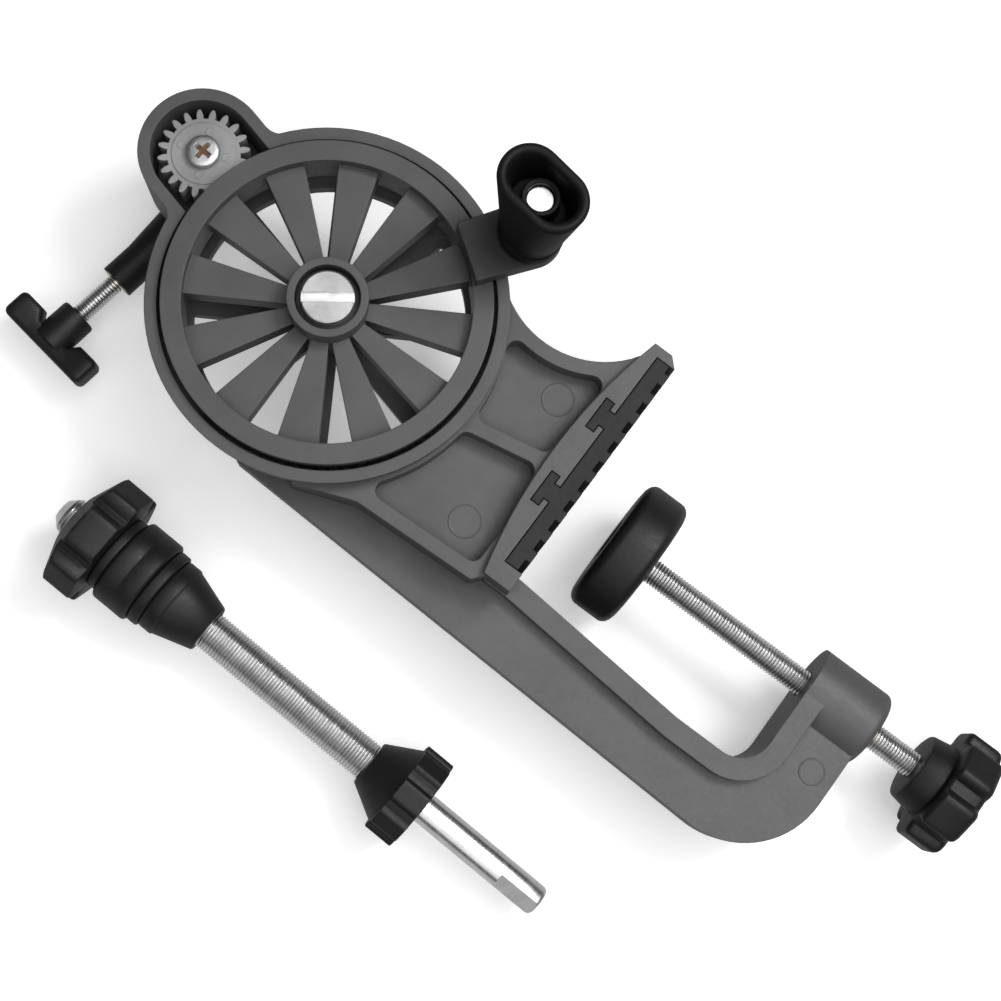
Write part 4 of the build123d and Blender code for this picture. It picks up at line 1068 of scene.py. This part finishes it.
# ---- sub-assemblies --------------------------------------------------------------------------
@dataclass
class SpoolSpindle:
    """The loose spindle: threaded rod, fixed cone, sliding cone, rings and nut."""

    finishes: Finishes
    rod_radius: float = 6.0
    thread_depth: float = 0.52
    pitch: float = 1.0
    tip_radius: float = 3.2
    thread_end: float = 118.0
    shank_start: float = 137.0
    shank_radius: float = 4.7
    length: float = 181.5
    flat_turn: float = -42.0
    flat_distance: float = 3.4
    flat_start: float = 167.5
    bore: float = 6.04
    nut_start: float = 5.0
    nut_end: float = 19.5
    nut_radius: float = 18.8
    nut_valley: float = 15.8
    outer_washer_end: float = 22.8
    collar_end: float = 34.8
    inner_washer_end: float = 38.6
    cone_rim_end: float = 43.6
    cone_end: float = 55.6
    fixed_start: float = 117.0
    fixed_rim_start: float = 127.5
    fixed_radius: float = 14.8
    fixed_valley: float = 13.6
    fixed_edge: float = 1.4

    def spindle(self) -> None:
        """Winds the thread, and turns the polished shank with its flat."""
        steel = self.finishes.spindle_steel
        root = self.rod_radius - self.thread_depth
        shape = Shape()
        shape.thread(self.rod_radius, root, self.pitch, 0.0, self.thread_end, 44)
        shape.taper(0.0, self.tip_radius, 0.95)
        rod = shape.piece("spindle_thread", SPINDLE, "spindle", steel, CRISP_THREAD)
        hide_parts("spool_spindle")
        shank = Shape()
        edge = 1.2
        shank.turned(
            [
                (self.rod_radius, self.thread_end),
                (self.rod_radius, self.shank_start),
                (self.shank_radius, self.shank_start),
                (self.shank_radius, self.length - edge),
                (self.shank_radius - 0.35 * edge, self.length - 0.35 * edge),
                (self.shank_radius - edge, self.length),
            ],
            96,
        )
        shank.flat(self.flat_turn, self.flat_distance, self.flat_start)
        shank.piece("spindle_shank", SPINDLE, "spindle", steel, CRISP_TURNED)

    def nut(self) -> None:
        """Shapes the lobed nut, tapered towards the rod's tip."""
        shape = Shape()
        levels: list[Level] = [(Round(self.bore), self.nut_start), (Round(8.6), self.nut_start)]
        for height in (0.12, 0.5, 1.2, 2.1, 2.9, 3.3, 3.7, 4.1, 4.6, 5.1, 5.6):
            cut = min(9.0 + 2.36 * height, self.nut_radius + 1.2)
            lobed = Lobed(self.nut_radius, self.nut_valley, 14.0, 6, 90.0, cut)
            levels.append((lobed, self.nut_start + height))
        for inset, width, depth in ((0.0, 14.0, 0.9), (0.3, 13.4, 0.25), (0.9, 12.4, 0.0)):
            lobed = Lobed(self.nut_radius - inset, self.nut_valley - inset, width, 6, 90.0)
            levels.append((lobed, self.nut_end - depth))
        levels += [(Round(self.bore), self.nut_end), (Round(self.bore), self.nut_start)]
        shape.skin(levels, 180)
        made = shape.piece("nut_moulding", SPINDLE, "nut", self.finishes.black)
        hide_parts("spool_nut")

    def ring(
        self, name: str, node: str, radius: float, start: float, end: float, edge: float,
        groove: float,
    ) -> None:
        """Turns a ring that sits on the rod.

        Args:
            name: the piece's name.
            node: the CAD node it stands for.
            radius: outside.
            start: height of the face nearer the tip.
            end: height of the other face.
            edge: radius of the rounded edges.
            groove: depth of a fine parting line round the middle, or 0.
        """
        profile = [(self.bore, start), *quarter_round(radius, start, edge, edge, 4)]
        if groove:
            middle = (start + end) / 2
            profile += [(radius, middle - 0.25), (radius - groove, middle), (radius, middle + 0.25)]
        profile += quarter_round(radius, end, edge, -edge, 4)[::-1]
        profile += [(self.bore, end), (self.bore, start)]
        shape = Shape()
        shape.turned(profile, 96)
        made = shape.piece(name, SPINDLE, "cone_stack", self.finishes.black)
        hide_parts(node)

    def sliding_cone(self) -> None:
        """Turns the cone that slides into a spool."""
        shape = Shape()
        start, rim, end = self.inner_washer_end, self.cone_rim_end, self.cone_end
        shape.turned(
            [
                (self.bore, start), (11.0, start), (11.55, start + 0.2), (11.8, start + 0.8),
                (11.8, rim - 0.8), (11.65, rim - 0.25), (11.3, rim), (11.3, rim + 0.15),
                (7.75, end - 0.35), (7.35, end), (self.bore, end), (self.bore, start),
            ],
            96,
        )
        black = self.finishes.black
        made = shape.piece("sliding_cone_moulding", SPINDLE, "cone_stack", black)
        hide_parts("sliding_cone")

    def fixed_cone(self) -> None:
        """Shapes the cone on the rod's end, with its lobed rim."""
        shape = Shape()
        bore = self.rod_radius + 0.01
        start, rim, end = self.fixed_start, self.fixed_rim_start, self.shank_start
        reach, edge = self.fixed_radius + 0.9, self.fixed_edge
        levels: list[Level] = [
            (Round(bore), start), (Round(6.9), start), (Round(7.25), start + 0.3),
            (Round(12.9), rim - 0.05), (Round(13.0), rim),
        ]
        soft_rim = quarter_round(reach, rim, edge, edge, 3)
        soft_rim += quarter_round(reach, end, edge, -edge, 3)[::-1]
        for limit, height in soft_rim:
            levels.append((Lobed(self.fixed_radius, self.fixed_valley, 8.0, 8, 90.0, limit), height))
        levels += [(Round(bore), end), (Round(bore), start)]
        shape.skin(levels, 192)
        black = self.finishes.black
        made = shape.piece("fixed_cone_moulding", SPINDLE, "spindle", black)
        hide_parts("fixed_cone")

    def build(self) -> None:
        """Makes the whole spindle."""
        self.spindle()
        self.nut()
        start = self.nut_end
        for name, node, radius, end, edge, groove in (
            ("outer_washer_moulding", "outer_washer", 12.2, self.outer_washer_end, 0.7, 0.0),
            ("collar_moulding", "spool_collar", 13.8, self.collar_end, 1.2, 0.12),
            ("inner_washer_moulding", "inner_washer", 12.6, self.inner_washer_end, 0.8, 0.0),
        ):
            self.ring(name, node, radius, start, end, edge, groove)
            start = end
        self.sliding_cone()
        self.fixed_cone()


@dataclass
class TableClamp:
    """The clamp's screw, knob and pressure foot."""

    finishes: Finishes
    screw_radius: float = 4.0
    thread_depth: float = 0.5
    pitch: float = 1.0
    foot_face: float = 14.5
    foot_back: float = 29.0
    foot_radius: float = 21.3
    foot_edge: float = 4.0
    nose_radius: float = 2.9
    nose_end: float = 16.0
    groove_radius: float = 2.2
    groove_low: float = 17.2
    groove_high: float = 18.2
    knob_start: float = 126.0
    knob_body_start: float = 133.5
    knob_end: float = 146.0
    knob_radius: float = 18.0
    knob_valley: float = 15.6
    knob_lobe: float = 13.0

    def screw(self) -> None:
        """Winds the long screw, and turns the nose that sits in the foot."""
        start, end = self.foot_back + 0.3, self.knob_start + 15.5
        body, steel = "clamp_screw_body", self.finishes.clamp_steel
        root = self.screw_radius - self.thread_depth
        shape = Shape()
        shape.thread(self.screw_radius, root, self.pitch, start, end, 32)
        made = shape.piece("clamp_screw_thread", CLAMP, body, steel, CRISP_THREAD)
        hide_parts("clamp_screw")
        radius, tip, groove = self.nose_radius, self.nose_end, self.groove_radius
        nose = Shape()
        nose.turned(
            [
                (radius, start), (radius, self.groove_high + 0.02), (groove, self.groove_high),
                (groove, self.groove_low), (radius, self.groove_low), (radius, tip + 0.4),
                (radius - 0.4, tip),
            ],
            48,
        )
        nose.piece("clamp_screw_nose", CLAMP, body, steel)

    def knob_outline(self, inset: float, narrowing: float) -> Lobed:
        """Gives the knob's lobed outline.

        Args:
            inset: how far inside the knob's side.
            narrowing: how much narrower the lobes get for each millimetre of it.

        Returns:
            The outline.
        """
        width = self.knob_lobe - narrowing * inset
        return Lobed(self.knob_radius - inset, self.knob_valley - inset, width, 6)

    def knob(self) -> None:
        """Shapes the lobed knob with its collar."""
        bore = Round(self.screw_radius + 0.01)
        start, body_start, end = self.knob_start, self.knob_body_start, self.knob_end
        levels: list[Level] = [
            (bore, start + 16.0), (bore, start), (Round(10.1), start), (Round(10.5), start + 0.15),
            (Round(10.75), start + 0.6), (Round(12.0), body_start - 0.02),
        ]
        for height, inset in ((0.0, 1.3), (0.3, 0.6), (0.9, 0.12), (1.4, 0.0)):
            levels.append((self.knob_outline(inset, 1.6), body_start + height))
        for height, inset in ((2.6, 0.0), (1.7, 0.25), (0.9, 0.9), (0.35, 1.9), (0.0, 3.2)):
            levels.append((self.knob_outline(inset, 1.2), end - height))
        levels += [(Round(10.2), end), (Round(9.8), end - 0.4)]
        shape = Shape()
        shape.skin(levels, 180)
        body, black = "clamp_screw_body", self.finishes.black
        made = shape.piece("clamp_knob_moulding", CLAMP, body, black)
        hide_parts("clamp_knob")

    def foot(self) -> None:
        """Turns the round foot that presses on the table's underside."""
        bore = self.nose_radius + 0.04
        face, back, edge, radius = self.foot_face, self.foot_back, self.foot_edge, self.foot_radius
        profile = [(bore, back), (8.0, back), (8.3, back - 0.25), (9.0, back - 0.25), (9.3, back)]
        profile += quarter_round(radius, back, edge, -0.8 * edge, 6)
        profile += quarter_round(radius, face, edge, 0.8 * edge, 6)[::-1]
        profile += [(7.3, face), (7.0, face + 0.3), (7.0, face + 4.0), (bore, face + 4.0), (bore, back)]
        shape = Shape()
        shape.turned(profile, 128)
        black = self.finishes.black
        made = shape.piece("pressure_foot_moulding", CLAMP, "foot", black)
        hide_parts("pressure_foot")

    def build(self) -> None:
        """Makes the clamp's moving pieces."""
        self.screw()
        self.knob()
        self.foot()


@dataclass
class LockScrew:
    """The wing screw that holds the spindle in its socket."""

    finishes: Finishes
    stud_radius: float = 3.0
    thread_depth: float = 0.42
    pitch: float = 1.0
    stud_start: float = 9.8
    wing_start: float = 56.0
    neck_length: float = 6.5
    neck_radius: float = 5.8
    bar_length: float = 32.0
    bar_thickness: float = 9.0
    bar_waist: float = 6.0
    bar_width: float = 9.5
    pinch: float = 0.8
    pinch_reach: float = 9.0

    def stud(self) -> None:
        """Winds the stud's thread."""
        root, end = self.stud_radius - self.thread_depth, self.wing_start + 11.5
        body, steel = "lock_stud_body", self.finishes.lock_steel
        shape = Shape()
        shape.thread(self.stud_radius, root, self.pitch, self.stud_start, end, 28)
        shape.taper(self.stud_start, self.stud_radius - 0.7, 1.0)
        made = shape.piece("lock_stud_thread", LOCK, body, steel, CRISP_THREAD)
        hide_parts("lock_stud")

    def wing(self) -> None:
        """Shapes the bar with its paddle ends, and turns its neck."""
        start, radius = self.wing_start, self.neck_radius
        low = start + self.neck_length
        high = low + self.bar_thickness
        size = (self.bar_width, self.bar_length, self.bar_thickness)
        body, black = "lock_wing_body", self.finishes.black
        bar = Shape()
        bmesh.ops.create_cube(bar.bm, size=1.0)
        bmesh.ops.scale(bar.bm, verts=bar.bm.verts, vec=size)
        bmesh.ops.translate(bar.bm, verts=bar.bm.verts, vec=(0, 0, (low + high) / 2))
        for place in (-12.0, -8.0, -5.8, 0.0, 5.8, 8.0, 12.0):
            bar.cut((0, place, 0), (0, 1, 0))
        for vert in bar.bm.verts:
            out = abs(vert.co.y)
            if vert.co.z < (low + high) / 2:
                rise = min(max((out - radius) / (self.bar_length / 4 - radius), 0.0), 1.0)
                vert.co.z = high - self.bar_waist - (self.bar_thickness - self.bar_waist) * rise
            if out < self.pinch_reach:
                vert.co.x -= math.copysign(self.pinch, vert.co.x)
        bar.soften(1.9, 60.0, 5)
        made = bar.piece("lock_wing_bar", LOCK, body, black, 40.0)
        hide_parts("lock_wing")
        neck = Shape()
        bore = self.stud_radius + 0.04
        neck.turned(
            [
                (bore, start), (radius - 0.9, start), (radius - 0.3, start + 0.25),
                (radius - 0.05, start + 0.9), (radius, low + 0.5), (radius, high - 3.0),
                (bore, high - 3.0), (bore, start),
            ],
            64,
        )
        neck.piece("lock_wing_neck", LOCK, body, black)

    def build(self) -> None:
        """Makes the wing screw."""
        self.stud()
        self.wing()


@dataclass
class PinionDrive:
    """The small gear's screw and the marks its mould left on it."""

    finishes: Finishes
    head_low: float = 25.5
    head_radius: float = 4.8
    head_height: float = 2.6
    recess_arm: float = 2.7
    recess_width: float = 1.45
    recess_depth: float = 1.6
    recess_turn: float = 87.0
    mark_radius: float = 1.35
    mark_circle: float = 6.6
    mark_angles: tuple[float, ...] = (110.8, 196.6, 25.7, 297.6)

    def recess(self, reach: float, breadth: float) -> Cross:
        """Gives the cross recess's outline at some depth.

        Args:
            reach: its arms' share of their length at the mouth.
            breadth: their share of their width.

        Returns:
            The outline.
        """
        return Cross(self.recess_arm * reach, self.recess_width * breadth, self.recess_turn)

    def screw(self) -> None:
        """Shapes the domed head, its cross recess and the coppery metal bared in it."""
        low, radius = self.head_low, self.head_radius
        top = low + self.head_height
        floor = top - self.recess_depth
        levels: list[Level] = [
            (self.recess(0.5, 0.5), floor), (self.recess(0.92, 0.85), top - 0.35),
            (self.recess(1.0, 1.0), top - 0.08), (self.recess(1.04, 1.12), top),
        ]
        dome = quarter_round(radius, top - 0.04, 2.0, -0.85, 6)[1:]
        levels += [(Round(out), height) for out, height in dome]
        levels += [
            (Round(radius), low + 0.15), (Round(radius - 0.15), low), (Round(2.0), low),
            (Round(2.0), low - 9.6), (Round(1.7), low - 10.0),
        ]
        steel = self.finishes.pinion_steel
        shape = Shape()
        shape.skin(levels, 96)
        made = shape.piece("pinion_screw_head", PINION, "output", steel, 32.0)
        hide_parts("pinion_screw")
        fill = Shape()
        fill.skin([(self.recess(0.56, 0.55), floor + 0.02), (self.recess(0.80, 0.72), top - 0.72)], 96)
        fill.piece("recess_bare_metal", PINION, "output", self.finishes.copper)

    def marks(self) -> None:
        """Sets the small round marks of the mould's pins on the gear's face."""
        shape = Shape()
        radius, circle = self.mark_radius, self.mark_circle
        profile = [
            (radius, -0.4), (radius, 0.05), (radius - 0.08, 0.10), (radius - 0.35, 0.10),
            (radius - 0.42, 0.05), (radius - 0.5, 0.03),
        ]
        for turn in map(math.radians, self.mark_angles):
            place = (circle * math.cos(turn), circle * math.sin(turn), self.head_low)
            bmesh.ops.translate(shape.bm, verts=shape.turned(profile, 32), vec=place)
        shape.piece("pinion_mould_marks", PINION, "output", self.finishes.pinion)

    def build(self) -> None:
        """Makes the pinion's detail."""
        self.screw()
        self.marks()


@dataclass
class WheelAxle:
    """The slotted bolt that the wheel turns on."""

    finishes: Finishes
    head_radius: float = 7.6
    head_height: float = 3.5
    shank_radius: float = 4.0
    slot_width: float = 2.8
    slot_depth: float = 1.7
    slot_turn: float = 36.6

    def build(self, low: float, high: float) -> None:
        """Shapes the bolt between the ends of its CAD node.

        Args:
            low: height of the bolt's end.
            high: height of the head's top.
        """
        seat = high - self.head_height
        radius, shank = self.head_radius, self.shank_radius
        shape = Shape()
        shape.turned(
            [
                (shank - 0.5, low), (shank, low + 0.5), (shank, seat), (radius - 0.1, seat),
                (radius, seat + 0.1), (radius, high - 0.45), (radius - 0.12, high - 0.18),
                (radius - 0.4, high),
            ],
            128,
        )
        half = self.slot_width / 2
        floor = high - self.slot_depth
        turn = Matrix.Rotation(math.radians(self.slot_turn), 4, "Z")
        bmesh.ops.rotate(shape.bm, verts=shape.bm.verts, cent=(0, 0, 0), matrix=turn.inverted())
        for side in (-half, half, -half - 0.05, half + 0.05):
            shape.cut((0, side, 0), (0, 1, 0))
        shape.cut((0, 0, floor), (0, 0, 1))
        for vert in shape.bm.verts:
            if abs(vert.co.y) < half + 1e-3 and vert.co.z > floor:
                vert.co.z = floor
        bmesh.ops.remove_doubles(shape.bm, verts=shape.bm.verts, dist=1e-3)
        bmesh.ops.dissolve_degenerate(shape.bm, edges=shape.bm.edges, dist=1e-3)
        bmesh.ops.rotate(shape.bm, verts=shape.bm.verts, cent=(0, 0, 0), matrix=turn)
        steel = self.finishes.bolt_steel
        made = shape.piece("axle_bolt_turned", WHEEL, "frame", steel, CRISP_TURNED)
        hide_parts("axle_bolt")


@dataclass
class CrankGrip:
    """The flared oval grip with its open cup."""

    finishes: Finishes
    base: float = 38.0
    top: float = 76.5
    base_radius: float = 9.6
    neck_length: float = 18.4
    neck_width: float = 16.6
    oval_length: float = 27.5
    oval_width: float = 18.0
    oval_turn: float = -8.0
    wall: float = 3.0
    cup_depth: float = 16.0
    tube_radius: float = 5.3
    tube_drop: float = 8.0
    hole_radius: float = 3.9
    bore: float = 3.04
    head_low: float = 63.5

    def oval(self, height: float, inset: float = 0.0) -> Level:
        """Gives the flared outline at a height.

        Args:
            height: above the model's zero.
            inset: how far inside the surface.

        Returns:
            The level.
        """
        share = (height - self.base - 3.0) / (self.top - self.base - 3.0)
        length = self.neck_length + share * (self.oval_length - self.neck_length) - 2 * inset
        width = self.neck_width + share * (self.oval_width - self.neck_width) - 2 * inset
        return Oval(length, width, self.oval_turn), height

    def build(self) -> None:
        """Shapes the grip from its base, over its lip and down to the screw's hole."""
        cup = self.top - self.cup_depth
        tube_top = self.top - self.tube_drop
        base, radius, head = self.base, self.base_radius, self.head_low - 0.3
        bore, hole, tube = Round(self.bore), self.hole_radius, self.tube_radius
        levels: list[Level] = [
            (bore, base), (Round(radius - 0.4), base), (Round(radius), base + 0.35),
            (Round(radius), base + 2.2), (Round(radius - 0.12), base + 3.0),
            (Round(radius - 0.45), base + 3.7), self.oval(base + 4.6),
        ]
        levels += [self.oval(float(height)) for height in range(46, 75, 3)]
        for step in range(7):
            turn = math.radians(30 * step)
            inset = self.wall / 2 * (1 - math.cos(turn))
            levels.append(self.oval(self.top - 1.5 + 1.5 * math.sin(turn), inset))
        levels += [self.oval(height, self.wall) for height in (72.0, 68.0, 64.0, cup + 1.2)]
        levels += [self.oval(cup + 0.35, self.wall + 0.35), self.oval(cup, self.wall + 1.2)]
        levels += [
            (Round(tube + 0.35), cup), (Round(tube), cup + 0.35), (Round(tube), tube_top - 0.3),
            (Round(tube - 0.3), tube_top), (Round(hole + 0.3), tube_top),
            (Round(hole), tube_top - 0.3), (Round(hole), head), (bore, head), (bore, base),
        ]
        shape = Shape()
        shape.skin(levels, 120)
        made = shape.piece("grip_moulding", GRIP, "handle", self.finishes.grip, 40.0)
        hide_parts("handle_grip")


@dataclass
class FrameMarks:
    """Round marks of the mould's pins in the frame's hollows, as X, Y, Z and radius."""

    finishes: Finishes
    spots: tuple[tuple[float, float, float, float], ...] = (
        (-22.2, -23.4, 14.0, 5.0), (-22.0, 21.7, 14.0, 5.0), (101.46, -20.47, 7.5, 4.0),
    )

    def build(self) -> None:
        """Makes a shallow raised rim and dished face at each mark."""
        grey_plastic = self.finishes.frame
        for index, (*origin, radius) in enumerate(self.spots, 1):
            shape = Shape()
            shape.turned(
                [
                    (radius, -0.6), (radius, 0.08), (radius - 0.12, 0.20), (radius - 0.35, 0.20),
                    (radius - 0.5, 0.07), (radius * 0.5, 0.05),
                ],
                64,
            )
            place = Place(tuple(origin))
            shape.piece(f"frame_pin_mark_{index}", place, "frame", grey_plastic)


def main() -> None:
    """Builds the studio, dresses the CAD nodes and makes each detailed piece."""
    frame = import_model()
    Studio().build()
    finishes = Finishes()
    CarriedNodes(finishes, frame["nodes"]).dress()
    bolt_low, bolt_high = (corner[2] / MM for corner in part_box("axle_bolt"))
    SpoolSpindle(finishes).build()
    TableClamp(finishes).build()
    LockScrew(finishes).build()
    PinionDrive(finishes).build()
    WheelAxle(finishes).build(bolt_low, bolt_high)
    CrankGrip(finishes).build()
    FrameMarks(finishes).build()


if __name__ == "__main__":
    main()
